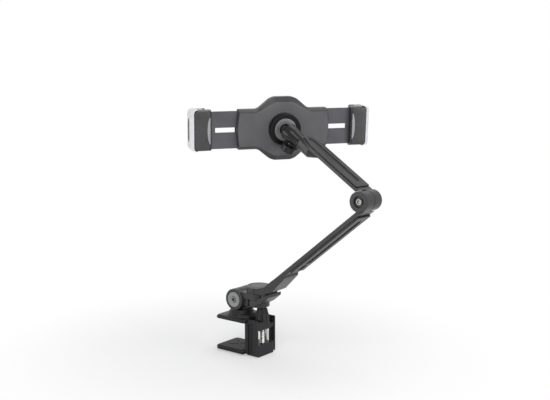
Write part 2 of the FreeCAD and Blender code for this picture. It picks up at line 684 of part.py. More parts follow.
def lower_arm():
    """The lower arm: elbow knuckle, beam and the foot that caps the swing joint."""
    outer = LOWER_OFFSET + LOWER_BEAM_THICK
    top = CAP_LOW + CAP_THICK
    toe = SWING_X + FOOT_REACH
    blend = toe + FOOT_BLEND
    under = outer + LOWER_COVER_THICK
    length = (ELBOW_X - toe + outer - LOWER_OFFSET) / math.cos(math.radians(LOWER_ANGLE))
    arm = placed(arm_beam(length, LOWER_OFFSET, LOWER_BEAM_THICK, -1), lower_arm_frame())
    disc = rod(SWING_RADIUS, (SWING_X, 0, CAP_LOW), UP, CAP_THICK)
    foot = side_prism([(SWING_X, CAP_LOW), (SWING_X + FOOT_FLAT, CAP_LOW), (toe, CAP_LOW + FOOT_RISE),
                       (blend, lower_line_height(under, blend)),
                       (blend, lower_line_height(outer - LAP, blend)),
                       (toe, lower_line_height(LOWER_OFFSET, toe)), (lower_line(LOWER_OFFSET, top), top),
                       (SWING_X, top)], -ARM_HALF_WIDTH, ARM_HALF_WIDTH)
    arm = arm.fuse([disc, foot])
    bore = rod(SWING_BOLT_RADIUS, (SWING_X, 0, 0), UP, BIG)
    head_room = rod(BOLT_HEAD_RADIUS + HEAD_GAP, (SWING_X, 0, top - BOLT_HEAD_HEIGHT), UP, BIG)
    elbow = rod(ELBOW_BOLT_RADIUS, (ELBOW_X, -BIG / 2, ELBOW_Z), ALONG_Y, BIG)
    recess = rod(FACE_RECESS_RADIUS, (ELBOW_X, -ELBOW_HALF_LENGTH - LAP, ELBOW_Z), ALONG_Y,
                 FACE_RECESS_DEPTH + LAP)
    gap = rod(ELBOW_RADIUS + KNUCKLE_CLEAR, (ELBOW_X, -ELBOW_WASHER / 2, ELBOW_Z), ALONG_Y, ELBOW_WASHER)
    arm = arm.cut([bore, head_room.common(disc), elbow, recess, gap]).removeSplitter()
    return max(arm.Solids, key=lambda solid: solid.Volume)


def lower_arm_cover():
    """The underside cover of the lower arm, with its cable channel and the pocket at the foot."""
    low = LOWER_OFFSET + LOWER_BEAM_THICK
    start, end = ELBOW_RADIUS + KNUCKLE_CLEAR, lower_cover_end()
    half = ARM_HALF_WIDTH - COVER_MARGIN
    cover = box(start, end, -half, half, low, low + LOWER_COVER_THICK)
    cover = round_edges(cover, COVER_MARGIN, ALONG_X, lambda p: p.z > low + LOWER_COVER_THICK / 2)
    top = low + LOWER_COVER_THICK
    pocket_end = end - POCKET_MARGIN
    pocket_start = pocket_end - POCKET_LENGTH
    channel = slot_bar(start + CHANNEL_MARGIN, pocket_start - POCKET_GAP, CHANNEL_HALF_WIDTH,
                       top - CHANNEL_DEPTH, top + LAP)
    pocket = slot_bar(pocket_start, pocket_end, POCKET_HALF_WIDTH, low - LAP, top + LAP)
    return placed(cover.cut([channel, pocket]), lower_arm_frame())


def swing_cap():
    """The domed trim cap on top of the swing joint."""
    base = CAP_LOW + CAP_THICK
    cap = rod(SWING_RADIUS, (SWING_X, 0, base), UP, CAP_DOME)
    cap = cap.makeFillet(CAP_ROUND, [e for e in cap.Edges if e.BoundBox.ZMin > base + CAP_DOME / 2])
    rim_low = base + CAP_DOME - CAP_RING_DEPTH
    rim = ring(CAP_RING_OUTER, CAP_RING_INNER, (SWING_X, 0, rim_low), UP, CAP_DOME)
    low_x, high_x = lower_line(LOWER_OFFSET, base), lower_line(LOWER_OFFSET, base + BIG / 4)
    room = side_prism([(low_x, base), (BIG, base), (BIG, base + BIG / 4), (high_x, base + BIG / 4)],
                      -BIG, BIG)
    return cap.cut([rim, room])


def swing_bolt():
    start = CAP_LOW + CAP_THICK
    length = start - BOLT_HEAD_HEIGHT - (EAR_TOP - EAR_THICK + NUT_RECESS)
    return socket_bolt(SWING_BOLT_RADIUS, length, BOLT_HEAD_RADIUS, BOLT_HEAD_HEIGHT,
                       (SWING_X, 0, start), DOWN)


def swing_nut():
    low = EAR_TOP - EAR_THICK + NUT_RECESS
    return ring(SWING_NUT_RADIUS, SWING_BOLT_RADIUS, (SWING_X, 0, low), UP, BOLT_HEAD_HEIGHT)


def swing_washers():
    low = BARREL_Z + TONGUE_LOW
    outer, inner = HUB_RADIUS - WASHER_MARGIN, SWING_BOLT_RADIUS + FIT_GAP
    washers = [ring(outer, inner, (SWING_X, 0, z), UP, WASHER_THICK) for z in (EAR_TOP, low + TONGUE_THICK)]
    return Part.makeCompound(washers)


def fork_lower_ear():
    """The lower ear of the fork: a disc, the slab that rises under the arm's foot, and the web between."""
    low = EAR_TOP - EAR_THICK
    disc = rod(HUB_RADIUS, (SWING_X, 0, low), UP, EAR_THICK)
    rise = math.tan(math.radians(SLAB_SLOPE))
    bend, end = SWING_X + SLAB_BEND, SWING_X + SLAB_END
    foot_slope = FOOT_RISE / (FOOT_REACH - FOOT_FLAT)
    top_end = CAP_LOW + (SLAB_END - FOOT_FLAT) * foot_slope - SLAB_DROP
    under_end = top_end - SLAB_LIP
    under_bend = under_end - (end - bend) * rise
    web_end = end - SLAB_SHOULDER
    slab = side_prism([(SWING_X, low), (SWING_X + LAP, low), (bend, under_bend), (end, under_end),
                       (end, top_end), (SWING_X + SLAB_START, EAR_TOP + HUB_CLEAR + SLAB_SHOULDER),
                       (SWING_X, EAR_TOP)],
                      -FORK_HALF_WIDTH, FORK_HALF_WIDTH)
    web = side_prism([(SWING_X + SLAB_START, EAR_TOP), (SWING_X + SLAB_START, CAP_LOW),
                      (SWING_X + FOOT_FLAT, CAP_LOW),
                      (web_end, CAP_LOW + (web_end - SWING_X - FOOT_FLAT) * foot_slope),
                      (web_end, top_end - SLAB_LIP / 2)], -FORK_WEB_HALF_WIDTH, FORK_WEB_HALF_WIDTH)
    hub_room = rod(HUB_RADIUS + HUB_CLEAR, (SWING_X, 0, EAR_TOP), UP, BIG)
    side_room = box(0, SWING_X + SLAB_START - LAP, -BIG, BIG, EAR_TOP, BIG)
    bore = rod(SWING_BOLT_RADIUS, (SWING_X, 0, 0), UP, BIG)
    nut_room = rod(SWING_NUT_RADIUS + FIT_GAP, (SWING_X, 0, 0), UP, low + NUT_RECESS + BOLT_HEAD_HEIGHT)
    return disc.fuse([slab, web]).cut([hub_room, side_room, bore, nut_room]).removeSplitter()


# Elbow

def elbow_bolt():
    start = -ELBOW_HALF_LENGTH + ELBOW_HEAD_SUNK
    head = FACE_RECESS_DEPTH - ELBOW_HEAD_SUNK
    length = 2 * ELBOW_HALF_LENGTH - FACE_RECESS_DEPTH - HEAD_GAP
    return socket_bolt(ELBOW_BOLT_RADIUS, length, BOLT_HEAD_RADIUS, head, (ELBOW_X, start, ELBOW_Z), ALONG_Y)


def elbow_nut():
    base = ELBOW_HALF_LENGTH - FACE_RECESS_DEPTH
    height = FACE_RECESS_DEPTH - HEAD_GAP
    return ring(ELBOW_NUT_RADIUS, ELBOW_BOLT_RADIUS, (ELBOW_X, base, ELBOW_Z), ALONG_Y, height)


def elbow_washer():
    return ring(ELBOW_RADIUS - WASHER_MARGIN, ELBOW_BOLT_RADIUS + FIT_GAP,
                (ELBOW_X, -ELBOW_WASHER / 2, ELBOW_Z), ALONG_Y, ELBOW_WASHER)


# Upper arm

def upper_arm():
    """The upper arm: elbow knuckle, beam and the round end that carries the neck."""
    beam = arm_beam(SEAM, UPPER_OFFSET, UPPER_BEAM_THICK, -1)
    taper = SEAM - ARM_TAPER_LENGTH
    outline = [(-BIG, -BIG), (taper, -BIG), (taper, -ARM_HALF_WIDTH), (SEAM, -NECK_SEAM_RADIUS),
               (SEAM, NECK_SEAM_RADIUS), (taper, ARM_HALF_WIDTH), (taper, BIG), (-BIG, BIG)]
    beam = beam.common(top_prism(outline, -BIG, BIG))
    barrel = taper + NOSE_AHEAD
    end = rod(NECK_SEAM_RADIUS, (barrel, 0, 0), ALONG_X, SEAM - barrel)
    lift = box(barrel, SEAM, -NECK_SEAM_RADIUS, NECK_SEAM_RADIUS, 0, UPPER_OFFSET + LAP)
    spigot = rod(SPIGOT_RADIUS, (SEAM, 0, 0), ALONG_X, SPIGOT_LENGTH)
    tip = Part.makeCircle(NOSE_TIP, Vector(barrel - NOSE_LENGTH, 0, UPPER_OFFSET + NOSE_TIP), Vector(1, 0, 0))
    mouth = Part.makeCircle(NECK_SEAM_RADIUS, Vector(barrel, 0, 0), Vector(1, 0, 0))
    nose = Part.makeLoft([Part.Wire(tip), Part.Wire(mouth)], True, True)
    arm = beam.fuse([end, lift, spigot, nose])
    bolt = rod(ELBOW_BOLT_RADIUS + FIT_GAP, (0, -BIG / 2, 0), ALONG_Y, BIG)
    recess = rod(FACE_RECESS_RADIUS, (0, -ELBOW_HALF_LENGTH - LAP, 0), ALONG_Y, FACE_RECESS_DEPTH + LAP)
    gap = rod(ELBOW_RADIUS + KNUCKLE_CLEAR, (0, -ELBOW_WASHER / 2, 0), ALONG_Y, ELBOW_WASHER)
    arm = arm.cut([bolt, recess, gap]).removeSplitter()
    arm = max(arm.Solids, key=lambda solid: solid.Volume)
    return placed(arm, upper_arm_frame())


def upper_arm_cover():
    """The top cover of the upper arm, with its long round-ended channel."""
    low = UPPER_OFFSET + UPPER_BEAM_THICK
    start, end = ELBOW_RADIUS + KNUCKLE_CLEAR, SEAM - NOSE_AHEAD
    taper = SEAM - ARM_TAPER_LENGTH
    half = ARM_HALF_WIDTH - COVER_MARGIN
    tip = NECK_SEAM_RADIUS - COVER_MARGIN
    cover = top_prism([(start, -half), (taper, -half), (end, -tip), (end, tip), (taper, half), (start, half)],
                      low, low + UPPER_COVER_THICK)
    channel = slot_bar(start + CHANNEL_MARGIN, end - NOSE_AHEAD, CHANNEL_HALF_WIDTH,
                       low + UPPER_COVER_THICK - CHANNEL_DEPTH, low + UPPER_COVER_THICK + LAP)
    return placed(cover.cut(channel), upper_arm_frame())


# Neck and ball joint

def neck_head():
    """The tapered neck: a bore for the arm's spigot at one end and the ball socket at the other."""
    ball = BALL_REACH
    seam = SEAM + SOFT_GAP
    rim = ball + NECK_RIM_AHEAD
    steps = [(seam, 0), (seam, NECK_SEAM_RADIUS - SEAM_EDGE), (seam + SEAM_EDGE, NECK_SEAM_RADIUS),
             (rim - NECK_HEAD_LENGTH, NECK_HEAD_RADIUS), (rim - NECK_RIM_LENGTH, NECK_HEAD_RADIUS),
             (rim, NECK_HEAD_RADIUS - NECK_RIM_DROP), (rim, 0)]
    profile = [Vector(x, 0, z) for x, z in steps]
    body = Part.Face(Part.makePolygon(profile + profile[:1])).revolve(Vector(0, 0, 0), Vector(1, 0, 0), 360)
    boss = rod(LOCK_BOSS_RADIUS, (ball - LOCK_BACK, 0, 0), DOWN, LOCK_BOSS_REACH)
    body = body.fuse(boss)
    spigot = rod(SPIGOT_RADIUS + FIT_GAP, (seam - LAP, 0, 0), ALONG_X, SPIGOT_LENGTH + LAP + SPIGOT_END_GAP)
    lock = rod(LOCK_SCREW_RADIUS + FIT_GAP, (ball - LOCK_BACK, 0, 0), DOWN, BIG)
    shell = BALL_RADIUS + BALL_GAP
    deep = Part.makeSphere(shell + SEAT_THICK + BALL_GAP, Vector(ball, 0, 0))
    deep = deep.cut(box(ball - LAP, BIG, -BIG, BIG, -BIG, BIG))
    near = Part.makeSphere(shell, Vector(ball, 0, 0))
    return placed(body.cut([spigot, lock, deep, near]).removeSplitter(), upper_arm_frame())


def lock_knob():
    frame = upper_arm_frame()
    start = frame.multVec(Vector(BALL_REACH - LOCK_BACK, 0, -LOCK_BOSS_REACH - SOFT_GAP))
    down = frame.Rotation.multVec(Vector(0, 0, -1))
    knob = lobed_knob(LOCK_KNOB_RADIUS, LOCK_KNOB_RADIUS - LOCK_KNOB_TAPER, LOCK_KNOB_LENGTH, LOCK_KNOB_LOBES,
                      LOCK_KNOB_FLUTE, tuple(start), tuple(down))
    socket = rod(LOCK_SCREW_RADIUS, (BALL_REACH - LOCK_BACK, 0, 0), DOWN, LOCK_BOSS_REACH + LOCK_SCREW_GRIP)
    return knob.cut(placed(socket, frame))


def lock_screw():
    start = SPIGOT_RADIUS + FIT_GAP
    screw = rod(LOCK_SCREW_RADIUS, (BALL_REACH - LOCK_BACK, 0, -start), DOWN,
                LOCK_BOSS_REACH + LOCK_SCREW_GRIP - start)
    return placed(screw, upper_arm_frame())


def ball_seat():
    """The curved friction seat behind the ball, turned with the pan of the ball joint."""
    inner = BALL_RADIUS + BALL_GAP
    outer = inner + SEAT_THICK
    shell = Part.makeSphere(outer).cut(Part.makeSphere(inner))
    reach = outer * 1.5
    wedge = cone(0, reach * math.tan(math.radians(SEAT_HALF_ANGLE)), (0, 0, 0), UP, reach)
    seat = shell.common(wedge)
    seat.Placement = Placement(ball_centre(), Rotation(Vector(0, 0, 1), seat_direction()))
    return seat


def seat_direction():
    """From the ball into the neck, on the side away from the holder's heading."""
    frame = upper_arm_frame()
    heading = frame.Rotation.inverted().multVec(holder_frame().Rotation.multVec(Vector(0, 1, 0)))
    flat = Vector(heading.x, heading.y, 0).normalize()
    return frame.Rotation.multVec(flat * -1.0)


def ball_stud():
    ball = Part.makeSphere(BALL_RADIUS, Vector(0, 0, 0))
    face = COLLAR_FACE + FLANGE_DEPTH
    stem = rod(STUD_RADIUS, (0, 0, 0), ALONG_Y, face + FLANGE_THICK + STUD_RIVET)
    flange = rod(FLANGE_RADIUS, (0, face, 0), ALONG_Y, FLANGE_THICK)
    return placed(ball.fuse([stem, flange]), holder_frame())


# Holder

def cover_outline(inset, y):
    """The cover's outline as a wire: two bowed ends, two straight sides and two bulges."""
    end, bow = COVER_HALF_LENGTH - inset, COVER_END_BOW
    side, foot = COVER_END_HALF - inset, BULGE_FOOT - inset * FOOT_INSET_SHARE
    peak, top = BULGE_TOP - inset * PEAK_INSET_SHARE, BULGE_HALF - inset
    corners = [(end, side), (foot, side), (peak, top), (-peak, top), (-foot, side), (-end, side)]
    corners += [(-x, -z) for x, z in corners]
    points = [Vector(x, y, z) for x, z in corners]
    edges = []
    for i, point in enumerate(points):
        after = points[(i + 1) % len(points)]
        if i in (5, 11):
            middle = Vector(math.copysign(end + bow, point.x), y, 0)
            edges.append(Part.Arc(point, middle, after).toShape())
        else:
            edges.append(Part.LineSegment(point, after).toShape())
    return Part.Wire(edges)


def holder_cover():
    """The back shell of the holder, with the collar seat in its middle."""
    rim = BACK_FACE + COVER_CHAMFER
    back = BACK_FACE + COVER_DEPTH
    wall = COVER_WALL
    raised = Part.makeLoft([cover_outline(COVER_INSET, BACK_FACE), cover_outline(0, rim)], True, True)
    skirt = Part.Face(cover_outline(0, rim)).extrude(Vector(0, back - rim, 0))
    shell = raised.fuse(skirt)
    dish = Part.makeLoft([cover_outline(COVER_INSET + wall, BACK_FACE + wall),
                          cover_outline(wall, rim + wall)], True, True)
    hollow = Part.Face(cover_outline(wall, rim + wall)).extrude(Vector(0, back, 0))
    room = rod(COLLAR_RADIUS + 2 * SOFT_GAP, (0, BACK_FACE - LAP, 0), ALONG_Y, COLLAR_SEAT + LAP)
    shell = shell.cut([dish, hollow])
    washer_face = COLLAR_FACE + FLANGE_DEPTH + FLANGE_THICK + WASHER_THICK
    boss = rod(COVER_BOSS_RADIUS, (0, BACK_FACE + LAP, 0), ALONG_Y, COVER_BOSS_DEPTH)
    spigot_length = BACK_FACE + COLLAR_SEAT + LAP - washer_face
    spigot = rod(FLANGE_RADIUS - SOFT_GAP, (0, washer_face, 0), ALONG_Y, spigot_length)
    stem = rod(STUD_RADIUS + SOFT_GAP, (0, 0, 0), ALONG_Y, back)
    posts = [rod(SCREW_BOSS_RADIUS, (x, BACK_FACE + LAP, z), ALONG_Y, back - BACK_FACE - LAP)
             for x, z in screw_places()]
    holes = [rod(SMALL_SCREW_RADIUS, (x, back, z), AGAINST_Y, SMALL_SCREW_LENGTH) for x, z in screw_places()]
    shell = shell.fuse([boss] + posts).cut(room).fuse(spigot).cut([stem] + holes)
    plate_low = left_plate_back()
    slots = []
    for side in (-1, 1):
        x0, x1 = sorted(side * (COVER_HALF_LENGTH + reach) for reach in (-COVER_SLOT_REACH, COVER_SLOT_REACH))
        slots.append(box(x0, x1, plate_low - 2 * SLIDE_GAP, BIG, -PLATE_HALF - 2 * SLIDE_GAP,
                         PLATE_HALF + 2 * SLIDE_GAP))
    shell = shell.cut(slots).removeSplitter()
    shell = max(shell.Solids, key=lambda solid: solid.Volume)
    return placed(shell, holder_frame())


def left_plate_back():
    """The back face of the left slide plate: the right plate lies in front of it, past the gear layer."""
    return BACK_FACE + COVER_CHAMFER + COVER_WALL + PLATE_BEHIND


def gear_back():
    """The back face of the layer that the racks and the pinion share."""
    return left_plate_back() + PLATE_THICK


def plate_back(side):
    return left_plate_back() if side < 0 else gear_back() + GEAR_LAYER


def screw_places():
    x, z = BULGE_FOOT * 0.55, BULGE_HALF * 0.72
    return [(x, z), (-x, z), (x, -z), (-x, -z)]


def collar_ring():
    """The wide satin collar that keeps the stud's flange in the holder."""
    depth = BACK_FACE + COLLAR_SEAT - COLLAR_FACE
    outer = rod(COLLAR_RADIUS, (0, COLLAR_FACE, 0), ALONG_Y, depth)
    outer = outer.makeFillet(COLLAR_EDGE, [e for e in outer.Edges if e.BoundBox.YMax < COLLAR_FACE + FIT_GAP
                                           and isinstance(e.Curve, Part.Circle)])
    lip = FLANGE_DEPTH - WASHER_THICK
    bore = rod(COLLAR_BORE, (0, COLLAR_FACE - LAP, 0), ALONG_Y, lip - COLLAR_LIP + LAP)
    throat = rod(COLLAR_THROAT, (0, 0, 0), ALONG_Y, BIG)
    room = rod(FLANGE_RADIUS + SOFT_GAP, (0, COLLAR_FACE + lip, 0), ALONG_Y, BIG)
    return placed(outer.cut([bore, throat, room]), holder_frame())


def turn_washers():
    face = COLLAR_FACE + FLANGE_DEPTH
    washers = [ring(FLANGE_RADIUS - SOFT_GAP, STUD_RADIUS + WASHER_MARGIN, (0, y, 0), ALONG_Y, WASHER_THICK)
               for y in (face - WASHER_THICK, face + FLANGE_THICK)]
    return placed(Part.makeCompound(washers), holder_frame())


def holder_front():
    """The flat front plate that closes the holder behind the device, with the pinion's axle."""
    back = BACK_FACE + COVER_DEPTH
    plate = Part.Face(cover_outline(0, back)).extrude(Vector(0, DEVICE_FACE - PAD_THICK - back, 0))
    axle = rod(AXLE_RADIUS, (0, gear_back() + SLIDE_GAP, 0), ALONG_Y, back - gear_back())
    holes = [rod(SMALL_SCREW_RADIUS, (x, back - LAP, z), ALONG_Y, DEVICE_FACE - back)
             for x, z in screw_places()]
    return placed(plate.fuse(axle).cut(holes).removeSplitter(), holder_frame())


def front_pads():
    """Soft pads that the back of the device lies on."""
    pads = []
    for x in (-FRONT_PAD_AT, FRONT_PAD_AT):
        pads.append(box(x - FRONT_PAD_HALF, x + FRONT_PAD_HALF, DEVICE_FACE - PAD_THICK, DEVICE_FACE,
                        -FRONT_PAD_HALF_HEIGHT, FRONT_PAD_HALF_HEIGHT))
    return placed(Part.makeCompound(pads), holder_frame())


def grip_inner():
    return DEVICE_LENGTH / 2.0 + GRIP_SLACK


def slide_plate(side):
    """A forked plate that carries one grip and runs inside the cover."""
    low = plate_back(side)
    outer = grip_inner() + PAD_THICK - PLATE_IN_GRIP
    inner = rack_end() - RACK_SEAT
    plate = box(inner, outer, low, low + PLATE_THICK, -PLATE_HALF, PLATE_HALF)
    slot = box(inner - LAP, outer - PLATE_SLOT_END, low - LAP, low + PLATE_THICK + LAP, -PLATE_SLOT_HALF,
               PLATE_SLOT_HALF)
    plate = plate.cut(slot)
    if side < 0:
        plate = plate.mirror(Vector(0, 0, 0), Vector(1, 0, 0))
    return placed(plate, holder_frame())


def tooth_pitch():
    return math.pi * PINION_MODULE


def rack_end():
    """How far a rack reaches on its grip's side of the pinion."""
    return GRIP_TRAVEL_IN + RACK_SPARE_TEETH * tooth_pitch()


def rack(side):
    """A toothed bar on one plate: the two racks lie above and below the pinion."""
    low = gear_back() + (0 if side < 0 else SLIDE_GAP)
    thick = GEAR_LAYER - SLIDE_GAP
    pitch = tooth_pitch()
    start, end = -GRIP_TRAVEL_OUT - RACK_SPARE_TEETH * pitch, rack_end()
    tip = PINION_RADIUS - PINION_MODULE * TOOTH_TIP_NARROWER
    root = PINION_RADIUS + PINION_MODULE
    bar = box(start, end, low, low + thick, root, root + RACK_BODY)
    teeth = []
    half_root, half_tip = tooth_halves(RACK_ROOT_WIDER)
    for i in range(math.floor(start / pitch), math.ceil(end / pitch)):
        x = (i + 0.5) * pitch
        if x + half_root > end or x - half_root < start:
            continue
        teeth.append(side_prism([(x - half_root, root + TOOTH_SINK), (x + half_root, root + TOOTH_SINK),
                                 (x + half_tip, tip), (x - half_tip, tip)], low, low + thick))
    body = bar.fuse(teeth).removeSplitter()
    if side < 0:
        body = body.mirror(Vector(0, 0, 0), Vector(1, 0, 0)).mirror(Vector(0, 0, 0), Vector(0, 0, 1))
    return placed(body, holder_frame())


def tooth_halves(root_wider):
    """Half a tooth's width at its root and at its tip, with the backlash taken off."""
    quarter = tooth_pitch() / 4
    return quarter + root_wider - TOOTH_BACKLASH / 2, quarter - TOOTH_TIP_NARROWER - TOOTH_BACKLASH / 4


def pinion():
    low = gear_back() + SLIDE_GAP
    tip = PINION_RADIUS + PINION_MODULE * TOOTH_TIP_NARROWER
    base = PINION_RADIUS - PINION_MODULE
    wheel = rod(base, (0, low, 0), ALONG_Y, PINION_THICK)
    teeth = []
    half_root, half_tip = tooth_halves(PINION_ROOT_WIDER)
    for i in range(PINION_TEETH):
        tooth = side_prism([(-half_root, base - LAP), (half_root, base - LAP), (half_tip, tip),
                            (-half_tip, tip)], low, low + PINION_THICK)
        tooth.rotate(Vector(0, 0, 0), Vector(0, 1, 0), 360.0 * i / PINION_TEETH)
        teeth.append(tooth)
    wheel = wheel.fuse(teeth).cut(rod(AXLE_RADIUS + FIT_GAP, (0, 0, 0), ALONG_Y, BIG))
    return placed(wheel.removeSplitter(), holder_frame())


def grip(side):
    """One end grip: a rounded jaw with a groove for the device's edge and a slit in its outer side."""
    inner = grip_inner() + PAD_THICK
    x0, x1 = inner - GRIP_BACK_OVERLAP, inner + GRIP_WIDTH - PAD_THICK
    front = DEVICE_FACE + DEVICE_THICK + GRIP_SLACK + PAD_THICK + GRIP_LIP_THICK
    jaw = box(x0, x1, GRIP_BACK, front, -GRIP_HALF, GRIP_HALF)
    jaw = round_edges(jaw, GRIP_ROUND, ALONG_Y, lambda p: p.x > inner)
    jaw = round_edges(jaw, GRIP_ROUND, UP, lambda p: p.x > inner)
    groove = box(0, inner, DEVICE_FACE - PAD_THICK, front - GRIP_LIP_THICK, -BIG, BIG)
    lip = box(0, inner - PAD_THICK - GRIP_LIP, DEVICE_FACE, BIG, -BIG, BIG)
    low = plate_back(side)
    plate_room = box(0, inner - PLATE_IN_GRIP, low, low + PLATE_THICK, -PLATE_HALF, PLATE_HALF)
    slit = slot_bar(-GRIP_SLIT_HALF_LENGTH, GRIP_SLIT_HALF_LENGTH, GRIP_SLIT_HALF, -GRIP_SLIT_DEPTH, LAP)
    turn = Rotation(Vector(0, 0, 1), Vector(0, 1, 0), Vector(1, 0, 0), "ZXY")
    slit.Placement = Placement(Vector(x1, (GRIP_BACK + front) / 2.0 - GRIP_SLIT_BACK, 0), turn)
    jaw = jaw.cut([groove, lip, plate_room, slit]).removeSplitter()
    jaw = max(jaw.Solids, key=lambda solid: solid.Volume)
    if side < 0:
        jaw = jaw.mirror(Vector(0, 0, 0), Vector(1, 0, 0))
    return placed(jaw, holder_frame())


def grip_pad(side):
    """The soft lining of a grip's groove."""
    inner = grip_inner()
    back, front = DEVICE_FACE, DEVICE_FACE + DEVICE_THICK + GRIP_SLACK
    half = GRIP_HALF - GRIP_PAD_MARGIN
    liner = box(inner - GRIP_LIP, inner + PAD_THICK, back - PAD_THICK, front + PAD_THICK, -half, half)
    liner = liner.cut(box(0, inner, back, front, -BIG, BIG))
    if side < 0:
        liner = liner.mirror(Vector(0, 0, 0), Vector(1, 0, 0))
    return placed(liner, holder_frame())


def cover_screws():
    """Four small screws that hold the front plate to the cover."""
    back = BACK_FACE + COVER_DEPTH
    front = DEVICE_FACE - PAD_THICK
    screws = []
    for x, z in screw_places():
        head = rod(SCREW_HEAD_RADIUS, (x, front, z), ALONG_Y, SCREW_HEAD_THICK)
        shank = rod(SMALL_SCREW_RADIUS, (x, front, z), AGAINST_Y, front - back + SMALL_SCREW_LENGTH)
        screws.append(head.fuse(shank))
    return placed(Part.makeCompound(screws), holder_frame())


PARTS = {
    "clamp_body": clamp_body,
    "upper_jaw_pad": upper_jaw_pad,
    "screw_bridge": screw_bridge,
    "guide_rod": guide_rod,
    "guide_dome_nut": guide_dome_nut,
    "pan_nut": pan_nut,
    "pan_nut_washer": pan_nut_washer,
    "lower_jaw": lower_jaw,
    "lower_jaw_pad": lower_jaw_pad,
    "jaw_nut": jaw_nut,
    "jaw_glides": jaw_glides,
    "clamp_screw": clamp_screw,
    "clamp_knob": clamp_knob,
    "swivel_base": swivel_base,
    "pan_washer": pan_washer,
    "tilt_washers": tilt_washers,
    "tilt_barrel": tilt_barrel,
    "tilt_end_discs": tilt_end_discs,
    "tilt_bolt": tilt_bolt,
    "tilt_nut": tilt_nut,
    "lower_arm": lower_arm,
    "lower_arm_cover": lower_arm_cover,
    "fork_lower_ear": fork_lower_ear,
    "swing_cap": swing_cap,
    "swing_bolt": swing_bolt,
    "swing_nut": swing_nut,
    "swing_washers": swing_washers,
    "elbow_bolt": elbow_bolt,
    "elbow_nut": elbow_nut,
    "elbow_washer": elbow_washer,
    "upper_arm": upper_arm,
    "upper_arm_cover": upper_arm_cover,
    "neck_head": neck_head,
    "lock_knob": lock_knob,
    "lock_screw": lock_screw,
    "ball_seat": ball_seat,
    "ball_stud": ball_stud,
    "collar_ring": collar_ring,
    "turn_washers": turn_washers,
    "holder_cover": holder_cover,
    "holder_front": holder_front,
    "front_pads": front_pads,
    "cover_screws": cover_screws,
    "pinion": pinion,
    "left_plate": lambda: slide_plate(-1),
    "right_plate": lambda: slide_plate(1),
    "left_rack": lambda: rack(-1),
    "right_rack": lambda: rack(1),
    "left_grip": lambda: grip(-1),
    "right_grip": lambda: grip(1),
    "left_grip_pad": lambda: grip_pad(-1),
    "right_grip_pad": lambda: grip_pad(1),
}


def main():
    os.makedirs("parts", exist_ok=True)
    for name, build in PARTS.items():
        shape = build()
        shape.exportStep(os.path.join("parts", name + ".step"))
        box_of = shape.BoundBox
        print(f"{name:18s} solids {len(shape.Solids)} valid {shape.isValid()} volume {shape.Volume:9.1f} "
              f"x {box_of.XMin:7.1f} {box_of.XMax:7.1f} y {box_of.YMin:7.1f} {box_of.YMax:7.1f} "
              f"z {box_of.ZMin:7.1f} {box_of.ZMax:7.1f}")


main()
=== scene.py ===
import json
import logging
import math
from dataclasses import dataclass
from enum import Enum
from typing import Callable, Iterable, Sequence

import bmesh
import bpy
from mathutils import Matrix, Vector


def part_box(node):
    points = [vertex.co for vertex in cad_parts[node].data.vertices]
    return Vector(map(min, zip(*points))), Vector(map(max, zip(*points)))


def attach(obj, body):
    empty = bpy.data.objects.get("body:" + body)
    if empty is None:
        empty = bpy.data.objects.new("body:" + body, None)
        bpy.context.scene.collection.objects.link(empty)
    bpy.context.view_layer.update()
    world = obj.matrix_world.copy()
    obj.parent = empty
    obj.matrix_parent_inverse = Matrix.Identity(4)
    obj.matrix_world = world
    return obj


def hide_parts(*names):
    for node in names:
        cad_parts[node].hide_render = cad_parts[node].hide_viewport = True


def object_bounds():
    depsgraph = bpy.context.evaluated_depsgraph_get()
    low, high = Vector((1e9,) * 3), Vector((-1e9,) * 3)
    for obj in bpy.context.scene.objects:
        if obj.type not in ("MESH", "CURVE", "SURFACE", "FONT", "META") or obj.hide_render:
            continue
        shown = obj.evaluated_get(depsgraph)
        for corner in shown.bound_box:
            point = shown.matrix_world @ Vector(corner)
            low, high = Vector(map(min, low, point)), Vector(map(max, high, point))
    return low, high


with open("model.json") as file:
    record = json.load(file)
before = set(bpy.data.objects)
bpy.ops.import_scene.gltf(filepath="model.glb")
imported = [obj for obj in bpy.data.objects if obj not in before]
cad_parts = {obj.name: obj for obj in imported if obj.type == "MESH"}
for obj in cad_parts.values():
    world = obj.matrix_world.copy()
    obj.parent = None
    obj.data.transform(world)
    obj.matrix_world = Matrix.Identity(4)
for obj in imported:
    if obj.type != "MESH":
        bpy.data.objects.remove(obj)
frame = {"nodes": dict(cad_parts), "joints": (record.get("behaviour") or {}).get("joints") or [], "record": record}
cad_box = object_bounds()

log = logging.getLogger("desk_stand")

MM = 0.001

ORIGIN = (0.0, 0.0, 0.0)
ALONG = (1.0, 0.0, 0.0)
AHEAD = (0.0, 1.0, 0.0)
UP = (0.0, 0.0, 1.0)

# How near two points are welded: in millimetres on the bench, in metres on the frame's solids.
WELD = 1e-4
NODE_WELD = 2e-6
# How near a cut a point of such a solid counts as lying on it, in metres.
NODE_CUT = 1e-6
# In degrees: the turn under which faces count as one flat face, the turn over which an edge is rounded,
# and the turn over which it still shows as an edge when it is shaded.
FLAT_ANGLE = 0.6
SHARP_ANGLE = 34.0
SMOOTH_ANGLE = 38.0
# In millimetres: on the spot, well clear of it, and how far a cutter reaches past what it cuts.
TOUCH = 0.01
CLEAR = 1.0
OVERCUT = 2.0
# The least cosine between directions that count as parallel.
PARALLEL = 0.9

# Size of the patches in which a finish's tone drifts, in millimetres.
PATCH_MM = 28.0
# A brushed line is fifty times as long as it is wide.
BRUSH_STRETCH = (0.02, 1.0, 1.0)
# Rings of a wave texture lie 2 pi / 20 apart at scale 1, and a groove takes half of that.
RING_SHARE = 0.16

